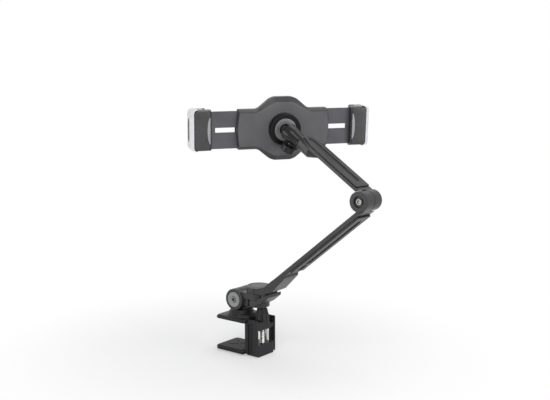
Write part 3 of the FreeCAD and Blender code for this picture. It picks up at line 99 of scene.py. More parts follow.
# The camera of the photograph: 7 degrees above the level, 38 degrees round from the hinge barrels.
CAMERA_PLACE = (0.8156, -0.9574, 0.3458)
CAMERA_TILT = 83.0
CAMERA_TURN = 38.0
CAMERA_LENS = 52.36
CAMERA_SENSOR = 36.0
CAMERA_NEAR = 0.02

Point = tuple[float, float, float]
Section = Sequence[tuple[float, float]]
FaceTest = Callable[[Vector, Vector], bool]
EdgeTest = Callable[[Vector, Vector], bool]
PointTest = Callable[[Vector], bool]


def linear(hex_colour: str) -> tuple[float, float, float, float]:
    """Turns an sRGB hex colour into linear values.

    Args:
        hex_colour: six hex digits with a leading hash.

    Returns:
        Red, green, blue and an alpha of 1.
    """
    channels = [int(hex_colour[i:i + 2], 16) / 255.0 for i in (1, 3, 5)]
    values = [c / 12.92 if c <= 0.04045 else ((c + 0.055) / 1.055) ** 2.4 for c in channels]
    return values[0], values[1], values[2], 1.0


def add_node(tree: bpy.types.NodeTree, kind: str, settings: dict | None = None,
             links: dict | None = None) -> bpy.types.Node:
    """Adds a node, with its settings and its links.

    Args:
        tree: the node tree that takes the node.
        kind: the node's type name, without the ShaderNode that all of them start with.
        settings: values by socket name or number, or by property name where no socket has it.
        links: output sockets of other nodes by socket name or number.

    Returns:
        The new node.
    """
    node = tree.nodes.new("ShaderNode" + kind)
    for key, value in (settings or {}).items():
        if isinstance(key, str) and hasattr(node, key):
            setattr(node, key, value)
        else:
            node.inputs[key].default_value = value
    for key, source in (links or {}).items():
        tree.links.new(source, node.inputs[key])
    return node


def empty_tree(owner: bpy.types.Material | bpy.types.World) -> bpy.types.NodeTree:
    """Turns on the nodes of a material or a world, and clears its tree.

    Args:
        owner: the material or the world.

    Returns:
        Its empty node tree.
    """
    owner.use_nodes = True
    owner.node_tree.nodes.clear()
    return owner.node_tree


class Grain(Enum):
    """How a surface was made, which decides its pattern."""

    COATED = "powder coated"
    MOULDED = "moulded in an eroded tool"
    BRUSHED = "brushed along one direction"
    TURNED = "turned on a lathe"
    POLISHED = "polished, or moulded in a polished tool"
    SOFT = "moulded rubber"


@dataclass(frozen=True)
class Finish:
    """One finish of the stand."""

    name: str  # the material's name
    slot: str  # the record's slot that the finish belongs to
    colour: str  # main sRGB colour
    shade: str  # sRGB colour that the tone drifts to
    grain: Grain  # how the surface was made
    roughness: float  # mean roughness
    metallic: float = 0.0  # 1 for bare metal, 0 for a coat or a plastic
    grain_mm: float = 0.6  # size of one grain, groove or bump
    relief_mm: float = 0.02  # height of the grain
    drift: float = 0.06  # how far roughness drifts either way
    coat: float = 0.0  # weight of a clear coat
    coat_roughness: float = 0.2  # roughness of that coat
    specular: float = 0.5  # specular level of the shader

    def material(self, centre: Point = ORIGIN, turn: Point = ORIGIN, tag: str = "") -> bpy.types.Material:
        """The procedural material, made once for each pattern place.

        Args:
            centre: where a turned pattern is centred, in metres.
            turn: how a brushed or turned pattern is rotated, in radians.
            tag: a word added to the name when a pattern has a place of its own.

        Returns:
            The material.
        """
        name = self.name + ("_" + tag if tag else "")
        known = bpy.data.materials.get(name)
        if known is not None:
            return known
        made = bpy.data.materials.new(name)
        made.diffuse_color = linear(self.colour)
        tree = empty_tree(made)
        place = add_node(tree, "TexCoord")
        mapped = add_node(tree, "Mapping",
                          {"vector_type": "TEXTURE", "Location": centre, "Rotation": turn},
                          {"Vector": place.outputs["Object"]})
        vector = mapped.outputs["Vector"]
        drift = add_node(tree, "TexNoise", {"Scale": 1.0 / (PATCH_MM * MM), "Detail": 3.0},
                         {"Vector": vector})
        tone = add_node(tree, "MapRange",
                        {"From Min": 0.35, "From Max": 0.65, "To Min": 0.0, "To Max": 1.0},
                        {"Value": drift.outputs["Fac"]})
        mix = add_node(tree, "Mix",
                       {"data_type": "RGBA", 6: linear(self.colour), 7: linear(self.shade)},
                       {0: tone.outputs["Result"]})
        grain = self.pattern(tree, vector)
        rough = add_node(tree, "MapRange",
                         {"From Min": 0.2, "From Max": 0.8, "To Min": self.roughness - self.drift,
                          "To Max": self.roughness + self.drift}, {"Value": grain})
        bump = add_node(tree, "Bump", {"Strength": 1.0, "Distance": self.relief_mm * MM},
                        {"Height": grain})
        shader = add_node(tree, "BsdfPrincipled",
                          {"Metallic": self.metallic, "Coat Weight": self.coat,
                           "Coat Roughness": self.coat_roughness, "Specular IOR Level": self.specular},
                          {"Base Color": mix.outputs[2], "Roughness": rough.outputs["Result"],
                           "Normal": bump.outputs["Normal"]})
        add_node(tree, "OutputMaterial", {}, {"Surface": shader.outputs["BSDF"]})
        return made

    def pattern(self, tree: bpy.types.NodeTree, vector: bpy.types.NodeSocket) -> bpy.types.NodeSocket:
        """The height pattern that the way of making leaves.

        Args:
            tree: the material's node tree.
            vector: the mapped coordinates.

        Returns:
            The socket of a value from 0 to 1.
        """
        scale = 1.0 / (self.grain_mm * MM)
        if self.grain is Grain.TURNED:
            return add_node(tree, "TexWave", {"wave_type": "RINGS", "rings_direction": "Z", "Detail": 2.0,
                                              "Scale": scale * RING_SHARE, "Distortion": 1.2},
                            {"Vector": vector}).outputs["Fac"]
        if self.grain is Grain.COATED:
            return add_node(tree, "TexVoronoi", {"feature": "SMOOTH_F1", "Scale": scale},
                            {"Vector": vector}).outputs["Distance"]
        if self.grain is Grain.BRUSHED:
            vector = add_node(tree, "VectorMath", {"operation": "MULTIPLY", 1: BRUSH_STRETCH},
                              {0: vector}).outputs["Vector"]
        detail = {Grain.BRUSHED: 2.0, Grain.POLISHED: 1.0}.get(self.grain, 4.0)
        return add_node(tree, "TexNoise", {"Scale": scale, "Detail": detail},
                        {"Vector": vector}).outputs["Fac"]


# Polyester powder over cast zinc: a half-matt black with a faint orange peel, drawn 0.9 mm wide to show.
POWDER_COAT = Finish("black_powder_coat", "black_coat", "#242326", "#1E1D20", Grain.COATED, 0.42,
                     grain_mm=0.9, relief_mm=0.012, drift=0.05, specular=0.22)
# The same powder in a deeper black on the floor of the spine's shallow groove: painted shade in the groove.
GROOVE_SHADE_COAT = Finish("black_powder_coat_painted_groove_shade", "black_coat", "#151416", "#121113", Grain.COATED, 0.38,
                    grain_mm=0.9, relief_mm=0.01, drift=0.05, specular=0.2)
# Dyed anodised aluminium: a smooth dark grey with a soft wide highlight.
ANODISED = Finish("black_anodised_aluminium", "dark_anodised", "#2F2F31", "#2A2A2C", Grain.BRUSHED, 0.34,
                  metallic=0.12, grain_mm=0.5, relief_mm=0.004, drift=0.05, specular=0.4)
# Anodised slide plates: slate grey with the fine lines of the rolled sheet, drawn 1.4 mm apart to show.
SLATE = Finish("slate_anodised_sheet", "dark_anodised", "#59595E", "#505055", Grain.BRUSHED, 0.42,
               metallic=0.3, grain_mm=1.4, drift=0.08)
# Turned bright aluminium: fine concentric tool marks, each drawn 0.5 mm wide to show.
TURNED_ALLOY = Finish("turned_aluminium", "brushed_alloy", "#858988", "#7A7E7D", Grain.TURNED, 0.34,
                      metallic=1.0, grain_mm=0.5, relief_mm=0.006, drift=0.07)
# Moulded ABS in dark grey: even matt face with the fine grain of the eroded tool.
GREY_ABS = Finish("moulded_grey_abs", "grey_plastic", "#58585A", "#525254", Grain.MOULDED, 0.48,
                  grain_mm=0.5, relief_mm=0.01)
# Moulded ABS in black, as the knobs have it.
BLACK_ABS = Finish("moulded_black_abs", "black_plastic", "#1C1C1E", "#181819", Grain.MOULDED, 0.38,
                   grain_mm=0.5, relief_mm=0.01, specular=0.35)
# The collar ring: black ABS with a smooth face, its near black also painted shade on the ring's side wall and in
# its throat, and inside the grips' slots.
BLACK_RING_AND_SHADE = Finish("smooth_black_abs_and_painted_shade", "grey_plastic", "#0E0E10", "#0B0B0D", Grain.MOULDED, 0.36,
                    grain_mm=0.5, relief_mm=0.006, drift=0.05, specular=0.2)
# Half-gloss black ABS: broad, fairly sharp reflections.
GLOSS_ABS = Finish("half_gloss_black_abs", "gloss_black", "#1B1B1C", "#171718", Grain.POLISHED, 0.24,
                   grain_mm=9.0, relief_mm=0.01, drift=0.03, coat=0.3, coat_roughness=0.15)
# Moulded polycarbonate in pale grey: a clean satin shell.
PALE_SHELL = Finish("moulded_pale_polycarbonate", "white_plastic", "#DEDEE1", "#D8D8DB", Grain.MOULDED, 0.36,
                    relief_mm=0.006, drift=0.05)
# Low-friction acetal, as washers and glides are made of.
ACETAL = Finish("acetal", "washer_plastic", "#6B6B6A", "#626261", Grain.MOULDED, 0.45)
# Black acetal of the ball's seat: matt and deep, its black partly painted shade inside the socket.
SEAT_BLACK_AND_SHADE = Finish("black_acetal_and_painted_shade", "washer_plastic", "#1E1E1F", "#19191A", Grain.MOULDED, 0.5)
# Bright chrome on steel, with the faint waviness of the polish.
CHROME = Finish("chrome_plate", "chrome", "#D9D8D6", "#CFCECC", Grain.POLISHED, 0.12,
                metallic=1.0, grain_mm=4.0, relief_mm=0.006, drift=0.03)
# Zinc-plated steel: greyer and duller than chrome.
ZINC = Finish("zinc_plated_steel", "steel", "#807D78", "#74716B", Grain.POLISHED, 0.26,
              metallic=1.0, grain_mm=1.5, relief_mm=0.006, drift=0.08)
# Blackened brass: a dull brown metal.
DARK_BRASS = Finish("blackened_brass", "brass", "#4E473B", "#433D33", Grain.TURNED, 0.42, metallic=1.0,
                    grain_mm=0.4)
# Black-oxide steel of the ball stud: a dark oily metal, darkened further as painted shade inside the socket.
STUD_BLACK_AND_SHADE = Finish("black_oxide_steel_and_painted_shade", "steel", "#242426", "#1E1E20", Grain.TURNED, 0.36, metallic=0.8,
                     grain_mm=0.4)
# Anodised aluminium of the neck, darker and glossier than the arms.
NECK_BLACK = Finish("glossy_black_anodised", "dark_anodised", "#0D0D0F", "#0A0A0C", Grain.POLISHED, 0.22,
                    grain_mm=6.0, relief_mm=0.004, drift=0.04, specular=0.3)
# Satin grey collar dish: turned, with fine rings and a soft light band.
SATIN_DISH = Finish("satin_grey_aluminium", "brushed_alloy", "#A4A4A6", "#969698", Grain.TURNED, 0.38,
                    metallic=0.7, grain_mm=0.5, relief_mm=0.004, drift=0.05)
# The chamfer round the holder's cover: the same ABS, painted darker as painted shade on the chamfer.
SHADED_EDGE_ABS = Finish("grey_abs_edge_painted_shade", "grey_plastic", "#3A3A3C", "#343436", Grain.MOULDED, 0.4,
                  grain_mm=0.5, relief_mm=0.006, drift=0.05, specular=0.35)
# Soft-touch lacquer on the grips' backs: dark grey with a wide soft light.
SOFT_TOUCH = Finish("soft_touch_grey_abs", "gloss_black", "#3E3E3F", "#363637", Grain.MOULDED, 0.44,
                    relief_mm=0.006)
# A pale satin crescent on the inner side of each grip's back: a painted highlight where the curved step catches
# the light.
GRIP_HIGHLIGHT_STRIP = Finish("pale_polycarbonate_painted_highlight", "white_plastic", "#A2A2A5", "#98989B", Grain.MOULDED, 0.34,
                    relief_mm=0.004, drift=0.04)
# Soft natural rubber: deep black, wide weak sheen.
RUBBER = Finish("black_rubber", "rubber", "#29282A", "#222123", Grain.SOFT, 0.62,
                grain_mm=0.7, drift=0.08, specular=0.4)

FINISH_OF_SLOT = {finish.slot: finish for finish in
                  (POWDER_COAT, ANODISED, TURNED_ALLOY, GREY_ABS, BLACK_ABS, GLOSS_ABS, PALE_SHELL, ACETAL,
                   CHROME, ZINC, DARK_BRASS, RUBBER)}


def add_object(name: str, data: bpy.types.ID) -> bpy.types.Object:
    """Adds an object to the scene.

    Args:
        name: its name.
        data: its mesh, its light or its lens.

    Returns:
        The new object.
    """
    thing = bpy.data.objects.new(name, data)
    bpy.context.scene.collection.objects.link(thing)
    return thing


def clear_bench() -> None:
    """Leaves edit mode and deselects everything."""
    if bpy.context.mode != "OBJECT":
        bpy.ops.object.mode_set(mode="OBJECT")
    bpy.ops.object.select_all(action="DESELECT")


def select_only(thing: bpy.types.Object) -> None:
    """Leaves one object selected and active, in object mode.

    Args:
        thing: the object.
    """
    clear_bench()
    thing.select_set(True)
    bpy.context.view_layer.objects.active = thing


def edit_all(thing: bpy.types.Object) -> None:
    """Goes into edit mode on one object, with its whole mesh selected.

    Args:
        thing: the object.
    """
    select_only(thing)
    bpy.ops.object.mode_set(mode="EDIT")
    bpy.ops.mesh.select_all(action="SELECT")


class Workpiece:
    """A mesh on the bench, worked in its own millimetres until it is settled in the stand."""

    def __init__(self, thing: bpy.types.Object, name: str) -> None:
        """Takes a mesh object, and names it and its mesh.

        Args:
            thing: the object.
            name: the piece's name.
        """
        self.thing = thing
        thing.name = name
        thing.data.name = name

    @classmethod
    def block(cls, name: str, low: Point, high: Point) -> "Workpiece":
        """A box between two corners.

        Args:
            name: the piece's name.
            low: lowest corner.
            high: highest corner.

        Returns:
            The new workpiece.
        """
        clear_bench()
        middle = [(a + b) / 2.0 for a, b in zip(low, high)]
        bpy.ops.mesh.primitive_cube_add(size=1.0, location=middle)
        bpy.context.object.scale = [b - a for a, b in zip(low, high)]
        bpy.ops.object.transform_apply(location=True, rotation=True, scale=True)
        return cls(bpy.context.object, name)

    @classmethod
    def lathe(cls, name: str, profile: Section, axis: Point, steps: int) -> "Workpiece":
        """A turned piece: a profile of radius and height, spun about its axis.

        Args:
            name: the piece's name.
            profile: radius and height of each point, in order round the section.
            axis: the direction of the axis, through the origin.
            steps: how many steps a full turn has.

        Returns:
            The new workpiece.
        """
        mesh = bpy.data.meshes.new(name)
        edges = [(i, i + 1) for i in range(len(profile) - 1)]
        if profile[0][0] > 0.0 and profile[-1][0] > 0.0:
            edges.append((len(profile) - 1, 0))
        mesh.from_pydata([(radius, 0.0, height) for radius, height in profile], edges, [])
        piece = cls(add_object(name, mesh), name)
        edit_all(piece.thing)
        bpy.ops.mesh.spin(steps=steps, angle=math.tau, center=ORIGIN, axis=UP)
        bpy.ops.mesh.select_all(action="SELECT")
        bpy.ops.mesh.remove_doubles(threshold=WELD)
        piece.face_outwards()
        mesh.transform(Vector(UP).rotation_difference(Vector(axis)).to_matrix().to_4x4())
        return piece

    @classmethod
    def from_node(cls, node: str, name: str, flatten: bool = True) -> "Workpiece":
        """A merged copy of a solid of the frame, in metres and in its place.

        Args:
            node: the solid's name.
            name: the piece's name.
            flatten: whether the triangles of each flat face become one face.

        Returns:
            The new workpiece.
        """
        piece = cls(add_object(name, frame["nodes"][node].data.copy()), name)
        edit_all(piece.thing)
        bpy.ops.mesh.remove_doubles(threshold=NODE_WELD)
        if flatten:
            bpy.ops.mesh.dissolve_limited(angle_limit=math.radians(FLAT_ANGLE))
        bpy.ops.object.mode_set(mode="OBJECT")
        return piece

    def copy(self, name: str) -> "Workpiece":
        """A second piece of the same shape, with its own mesh."""
        clear_bench()
        return Workpiece(add_object(name, self.thing.data.copy()), name)

    def mirror(self) -> None:
        """Mirrors the piece to the other side of X = 0."""
        select_only(self.thing)
        self.thing.data.transform(Matrix.Scale(-1.0, 4, ALONG))
        self.face_outwards()

    def face_outwards(self) -> None:
        """Turns every face of the closed shape outwards."""
        edit_all(self.thing)
        bpy.ops.mesh.normals_make_consistent(inside=False)
        bpy.ops.object.mode_set(mode="OBJECT")

    def cut_off(self, place: Matrix, at: float, outwards: float, near: float) -> None:
        """Cuts away what lies beyond a plane across a frame's X, and closes the cut.

        Args:
            place: the frame.
            at: where the plane is along its X, in the piece's present units.
            outwards: 1 to cut away what lies towards +X, -1 for what lies towards -X.
            near: how near the plane a point counts as lying on it, in the same units.
        """
        edit_all(self.thing)
        normal = place.to_3x3() @ Vector((outwards, 0.0, 0.0))
        bpy.ops.mesh.bisect(plane_co=place @ Vector((at, 0.0, 0.0)), plane_no=normal, use_fill=True,
                            clear_outer=True, threshold=near)
        bpy.ops.object.mode_set(mode="OBJECT")

    def pick(self, faces: FaceTest | None = None, edges: EdgeTest | None = None,
             points: PointTest | None = None) -> None:
        """Goes into edit mode and selects faces by centre and normal, edges by middle, or points by place.

        Args:
            faces: the test of a face's centre and normal.
            edges: the test of an edge's middle and unit direction.
            points: the test of a point's place.
        """
        select_only(self.thing)
        bpy.ops.object.mode_set(mode="EDIT")
        bpy.ops.mesh.select_mode(type="FACE" if faces else "EDGE" if edges else "VERT")
        bpy.ops.mesh.select_all(action="DESELECT")
        shape = bmesh.from_edit_mesh(self.thing.data)
        if faces:
            for face in shape.faces:
                face.select_set(faces(face.calc_center_median(), face.normal))
        elif edges:
            for edge in shape.edges:
                ends = edge.verts[1].co - edge.verts[0].co
                edge.select_set(edges((edge.verts[0].co + edge.verts[1].co) / 2.0, ends.normalized()))
        elif points:
            for point in shape.verts:
                point.select_set(points(point.co))
        shape.select_flush_mode()
        bmesh.update_edit_mesh(self.thing.data)

    def bevel(self, width: float, segments: int, affect: str = "EDGES") -> None:
        """Rounds the selected edges, or the selected VERTICES of a flat outline."""
        bpy.ops.mesh.bevel(offset=width, segments=segments, affect=affect, clamp_overlap=True)

    def shift(self, step: Point) -> None:
        """Moves the selection along a step."""
        bpy.ops.transform.translate(value=step)

    def extrude(self, step: Point) -> None:
        """Draws the selected faces or edges out along a step."""
        bpy.ops.mesh.extrude_region_move(TRANSFORM_OT_translate={"value": step})

    def resize(self, factors: Point, centre: Point) -> None:
        """Scales the selection about a point."""
        bpy.ops.transform.resize(value=factors, center_override=centre)

    def merge_faces(self) -> None:
        """Makes one face of all the faces of a flat sheet."""
        edit_all(self.thing)
        bpy.ops.mesh.select_mode(type="FACE")
        bpy.ops.mesh.dissolve_faces()

    def modify(self, kind: str, **settings: object) -> None:
        """Adds a modifier and applies it.

        Args:
            kind: the modifier's type.
            settings: its settings by name.
        """
        select_only(self.thing)
        modifier = self.thing.modifiers.new(kind.title(), kind)
        for key, value in settings.items():
            setattr(modifier, key, value)
        bpy.ops.object.modifier_apply(modifier=modifier.name)

    def soften(self, width: float) -> None:
        """Rounds every sharp edge by a width in the piece's present units."""
        self.modify("BEVEL", width=width, segments=2, limit_method="ANGLE",
                    angle_limit=math.radians(SHARP_ANGLE), use_clamp_overlap=False, harden_normals=False)

    def settle(self, place: Matrix) -> None:
        """Puts the millimetre mesh in its place in the stand, in metres.

        Args:
            place: the frame that it was modelled in.
        """
        select_only(self.thing)
        self.thing.data.transform(place @ Matrix.Scale(MM, 4))
        self.thing.data.update()

    def shade(self, angle: float = SMOOTH_ANGLE, weighted: bool = True) -> None:
        """Shades smooth, but for edges sharper than an angle.

        Args:
            angle: the turn between two faces that still shows as an edge, in degrees.
            weighted: whether large flat faces keep their shade up to their rounded edges.
        """
        select_only(self.thing)
        bpy.ops.object.shade_smooth_by_angle(angle=math.radians(angle))
        if weighted:
            self.modify("WEIGHTED_NORMAL", keep_sharp=True, weight=60)

    def dress(self, finish: Finish, body: str, stands_for: Iterable[str] = (), centre: Point = ORIGIN,
              turn: Point = ORIGIN, tag: str = "") -> "Workpiece":
        """Gives the piece its finish, its body and the solids it stands for.

        Args:
            finish: the finish.
            body: the body that it moves with.
            stands_for: nodes that it replaces.
            centre: where a turned pattern is centred, in metres.
            turn: how a brushed or turned pattern is rotated, in radians.
            tag: a word for the material's name when its pattern has a place of its own.

        Returns:
            The piece itself.
        """
        self.thing.data.materials.clear()
        self.thing.data.materials.append(finish.material(centre, turn, tag))
        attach(self.thing, body)
        if stands_for:
            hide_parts(*stands_for)
        log.info("%-26s rides on %-12s in %s, %d faces", self.thing.name, body, finish.name,
                 len(self.thing.data.polygons))
        return self

    def second_finish(self, finish: Finish, faces: FaceTest) -> None:
        """Gives some faces a second finish, after the piece has been dressed.

        Args:
            finish: the second finish.
            faces: the test of a face's centre and normal.
        """
        self.thing.data.materials.append(finish.material())
        self.pick(faces=faces)
        self.thing.active_material_index = len(self.thing.data.materials) - 1
        bpy.ops.object.material_slot_assign()
        bpy.ops.object.mode_set(mode="OBJECT")


def joint(name: str) -> dict:
    """The frame's joint of that name."""
    return next(j for j in frame["joints"] if j["name"] == name)


def frame_matrix(origin: Sequence[float], x_axis: Vector, y_axis: Vector) -> Matrix:
    """The matrix of a local frame.

    Args:
        origin: its origin in metres.
        x_axis: its X direction.
        y_axis: its Y direction.

    Returns:
        The 4 by 4 matrix.
    """
    z_axis = x_axis.cross(y_axis).normalized()
    turn = Matrix((x_axis, y_axis, z_axis)).transposed().to_4x4()
    return Matrix.Translation(Vector(origin)) @ turn


def on_arc(radius: float, angle: float) -> tuple[float, float]:
    """Radius and height of a point on a ball's section, at an angle in degrees from its axis."""
    return radius * math.sin(math.radians(angle)), radius * math.cos(math.radians(angle))


def body_of_node(node: str) -> str:
    """The body that carries a node."""
    return next(body for body, members in frame["record"]["behaviour"]["bodies"].items() if node in members)


def slot_of_node(node: str) -> str:
    """The record's material slot of a node."""
    return next(part["material_slot"] for part in frame["record"]["subparts"] if part["node"] == node)


@dataclass
class Assembly:
    """A sub-assembly of the stand: solids of the frame with softened edges, and pieces of its own."""

    edge: float = 0.5  # the usual rounding of its edges, in millimetres
    # The turn that still shows as an edge on a solid that gets no rounding, in degrees.
    raw_smooth: float = 14.0

    def finished(self, node: str, finish: Finish | None = None, edge: float | None = None,
                 flatten: bool = True, **pattern: object) -> Workpiece:
        """A solid of the frame with rounded edges and its finish.

        Args:
            node: the solid.
            finish: its finish, or none for that of its slot.
            edge: the rounding in millimetres, or none for the assembly's usual one.
            flatten: whether the triangles of each flat face become one face first.
            pattern: place of a pattern, as dress takes it.

        Returns:
            The new piece.
        """
        width = self.edge if edge is None else edge
        piece = Workpiece.from_node(node, node + "_finished", flatten and width > 0.0)
        if width > 0.0:
            piece.soften(width * MM)
            piece.shade()
        else:
            piece.shade(self.raw_smooth, weighted=False)
        finish = finish or FINISH_OF_SLOT[slot_of_node(node)]
        return piece.dress(finish, body_of_node(node), [node], **pattern)

    def keep(self, *nodes: str, finish: Finish | None = None) -> None:
        """Leaves solids as the frame has them, and gives them a finish.

        Args:
            nodes: the solids.
            finish: their finish, or none for that of each one's slot.
        """
        for node in nodes:
            thing = frame["nodes"][node]
            thing.data.materials.clear()
            thing.data.materials.append((finish or FINISH_OF_SLOT[slot_of_node(node)]).material())
            log.info("%-26s kept as the frame has it", node)

    def turned(self, name: str, profile: Section, axis: Point, place: Matrix, finish: Finish, body: str,
               stands_for: Iterable[str] = (), steps: int = 96, **pattern: object) -> None:
        """A turned piece, put in its place and dressed.

        Args:
            name: the piece's name.
            profile: radius and height of each point, in order round the section.
            axis: the direction of the axis in the frame that it is modelled in.
            place: that frame.
            finish: its finish.
            body: the body that it moves with.
            stands_for: nodes that it replaces.
            steps: how many steps a full turn has.
            pattern: place of a pattern, as dress takes it.
        """
        piece = Workpiece.lathe(name, profile, axis, steps)
        piece.settle(place)
        piece.shade()
        piece.dress(finish, body, stands_for, **pattern)


@dataclass
class Clamp(Assembly):
    """The desk clamp: jaws, spine, screw and knob."""

    screw_radius: float = 3.98  # radius over the thread
    thread_pitch: float = 1.25  # distance between turns of the thread as drawn
    # Section of one turn: how far outside that radius, and how far up the turn.
    thread: Section = ((-0.55, 0.0), (0.0, 0.5), (0.0, 0.75))
    flange_below: float = 3.0  # how far the thrust flange's lower face lies under the bridge's top
    # Section of the flange's rim: how far outside its radius, and height over its lower face.
    flange: Section = ((-0.3, 0.0), (0.0, 0.3), (0.0, 2.4), (-0.3, 2.7))
    groove_depth: float = 5.4  # how far the floor of the spine's side groove lies inside the jaw's side
    groove_from: float = 30.9  # X where that groove starts
    groove_to: float = 41.1  # X where it ends
    groove_near: float = 0.3  # how near to that floor a face counts as part of it

    def build(self) -> None:
        """Makes the clamp's pieces."""
        body = self.finished("clamp_body", edge=0.0)
        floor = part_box("clamp_body")[0].y + self.groove_depth * MM
        start, end, near = self.groove_from * MM, self.groove_to * MM, self.groove_near * MM
        # The groove's floor takes the deeper black: painted shade.
        body.second_finish(GROOVE_SHADE_COAT, lambda p, n: abs(p.y - floor) < near and start < p.x < end
                           and n.y < -PARALLEL)
        self.finished("upper_jaw_pad", edge=0.25)
        self.finished("screw_bridge", edge=0.6)
        self.finished("guide_rod", edge=0.3)
        self.finished("guide_dome_nut", edge=0.2)
        self.finished("lower_jaw")
        self.finished("lower_jaw_pad", edge=0.25)
        self.finished("clamp_knob")
        self.keep("jaw_nut", finish=DARK_BRASS)
        self.keep("jaw_glides", "pan_nut", "pan_nut_washer", "pan_washer")
        self.screw()

    def screw(self) -> None:
        """The clamp screw with its thread cut between the thrust flange and its end."""
        low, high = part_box("clamp_screw")
        bottom, top, wide = low.z / MM, high.z / MM, (high.x - low.x) / 2.0 / MM
        crest, seat = self.screw_radius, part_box("screw_bridge")[1].z / MM - self.flange_below
        profile = [(0.0, bottom)]
        for turn in range(int((seat - CLEAR - bottom) / self.thread_pitch)):
            start = bottom + turn * self.thread_pitch
            profile += [(crest + out, start + rise) for out, rise in self.thread]
        profile += [(crest, seat), *((wide + out, seat + rise) for out, rise in self.flange),
                    (crest, seat + self.flange[-1][1]), (crest, top), (0.0, top)]
        place = Matrix.Translation(((low.x + high.x) / 2.0, 0.0, 0.0))
        self.turned("clamp_screw_threaded", profile, UP, place, CHROME, "screw", ["clamp_screw"], steps=64)


@dataclass
class Swivel(Assembly):
    """The turning disc, the hinge barrel and the swing joint on top of it."""

    barrel_turn: float = 90.0  # how far the end discs' rings are turned about X, from Z to the barrel's axis

    def build(self) -> None:
        """Makes the swivel's, the barrel's and the swing joint's pieces."""
        low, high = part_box("tilt_end_discs")
        centre = ((low.x + high.x) / 2.0, 0.0, (low.z + high.z) / 2.0)
        turn = (math.radians(self.barrel_turn), 0.0, 0.0)
        self.finished("swivel_base", edge=0.4)
        self.finished("tilt_barrel")
        self.finished("tilt_end_discs", edge=0.3, centre=centre, turn=turn, tag="barrel")
        self.finished("tilt_bolt", ZINC, edge=0.3)
        self.finished("swing_cap", edge=0.35)
        self.finished("fork_lower_ear", edge=0.8)
        self.keep("tilt_nut", "tilt_washers", "swing_bolt", "swing_nut", "swing_washers")


@dataclass
class Arms(Assembly):
    """Both arms with their covers and the elbow between them."""

    edge: float = 0.6
    lower_slope: float = 38.5  # how far the lower arm rises above the level, in degrees
    upper_slope: float = 34.7  # how far the upper arm falls towards the elbow, in degrees

    def build(self) -> None:
        """Makes the arms' pieces."""
        rising = (0.0, -math.radians(self.lower_slope), 0.0)
        falling = (0.0, math.radians(self.upper_slope), 0.0)
        self.finished("lower_arm", turn=rising, tag="lower")
        self.finished("lower_arm_cover", turn=rising, tag="lower")
        self.finished("upper_arm", flatten=False, turn=falling, tag="upper")
        self.finished("upper_arm_cover", flatten=False, turn=falling, tag="upper")
        self.finished("elbow_bolt", ZINC, edge=0.3)
        self.keep("elbow_nut", "elbow_washer")


@dataclass
class Neck(Assembly):
    """The neck with its ball joint and lock knob, in millimetres from the ball's centre along the neck."""

    # Section from the seam with the upper arm to the rim round the ball: radius and place.
    shank: Section = ((0.0, -28.3), (9.6, -28.3), (10.2, -27.7), (10.2, -25.3), (12.3, -10.0), (12.8, -8.0),
                      (12.8, 1.0), (11.2, 3.0))
    socket_radius: float = 9.3  # radius of the socket's lip round the ball
    # Angles from the axis at which the lip has points, after the rim.
    lip_angles: tuple[int, ...] = (79, 87, 96)
    seat_radius: float = 10.8  # radius of the room for the ball's seat behind it
    seat_step: int = 12  # angle between the points of that room
    lock_back: float = 14.0  # how far the lock lies behind the ball's centre
    # Section of the boss that carries the lock: radius, and distance from the neck's axis.
    boss: Section = ((2.6, 8.8), (6.5, 8.8), (6.5, 14.4), (5.9, 15.0), (2.6, 15.0))

    def build(self) -> None:
        """Makes the neck's pieces."""
        self.neck()
        self.finished("lock_knob")
        self.keep("lock_screw")
        # The seat and the stud are darkened partly as painted shade inside the socket.
        self.keep("ball_seat", finish=SEAT_BLACK_AND_SHADE)
        self.keep("ball_stud", finish=STUD_BLACK_AND_SHADE)

    def neck(self) -> None:
        """The tapered neck, turned about its own axis, with the lock's boss under it."""
        place = frame_matrix(joint("ball_pan")["pos_m"], Vector(joint("neck_roll")["axis"]),
                             Vector(joint("lock_turn")["axis"]))
        rim_angle = math.degrees(math.acos(self.shank[-1][1] / self.socket_radius))
        lip = [on_arc(self.socket_radius, angle) for angle in (rim_angle, *self.lip_angles)]
        seat = [on_arc(self.seat_radius, angle) for angle in range(self.lip_angles[-1], 181, self.seat_step)]
        profile = [*self.shank, *lip, *seat]
        self.turned("neck_turned", profile, ALONG, place, NECK_BLACK, "neck", ["neck_head"])
        place = place @ Matrix.Translation((-self.lock_back * MM, 0.0, 0.0))
        self.turned("neck_lock_boss", self.boss, AHEAD, place, NECK_BLACK, "neck")


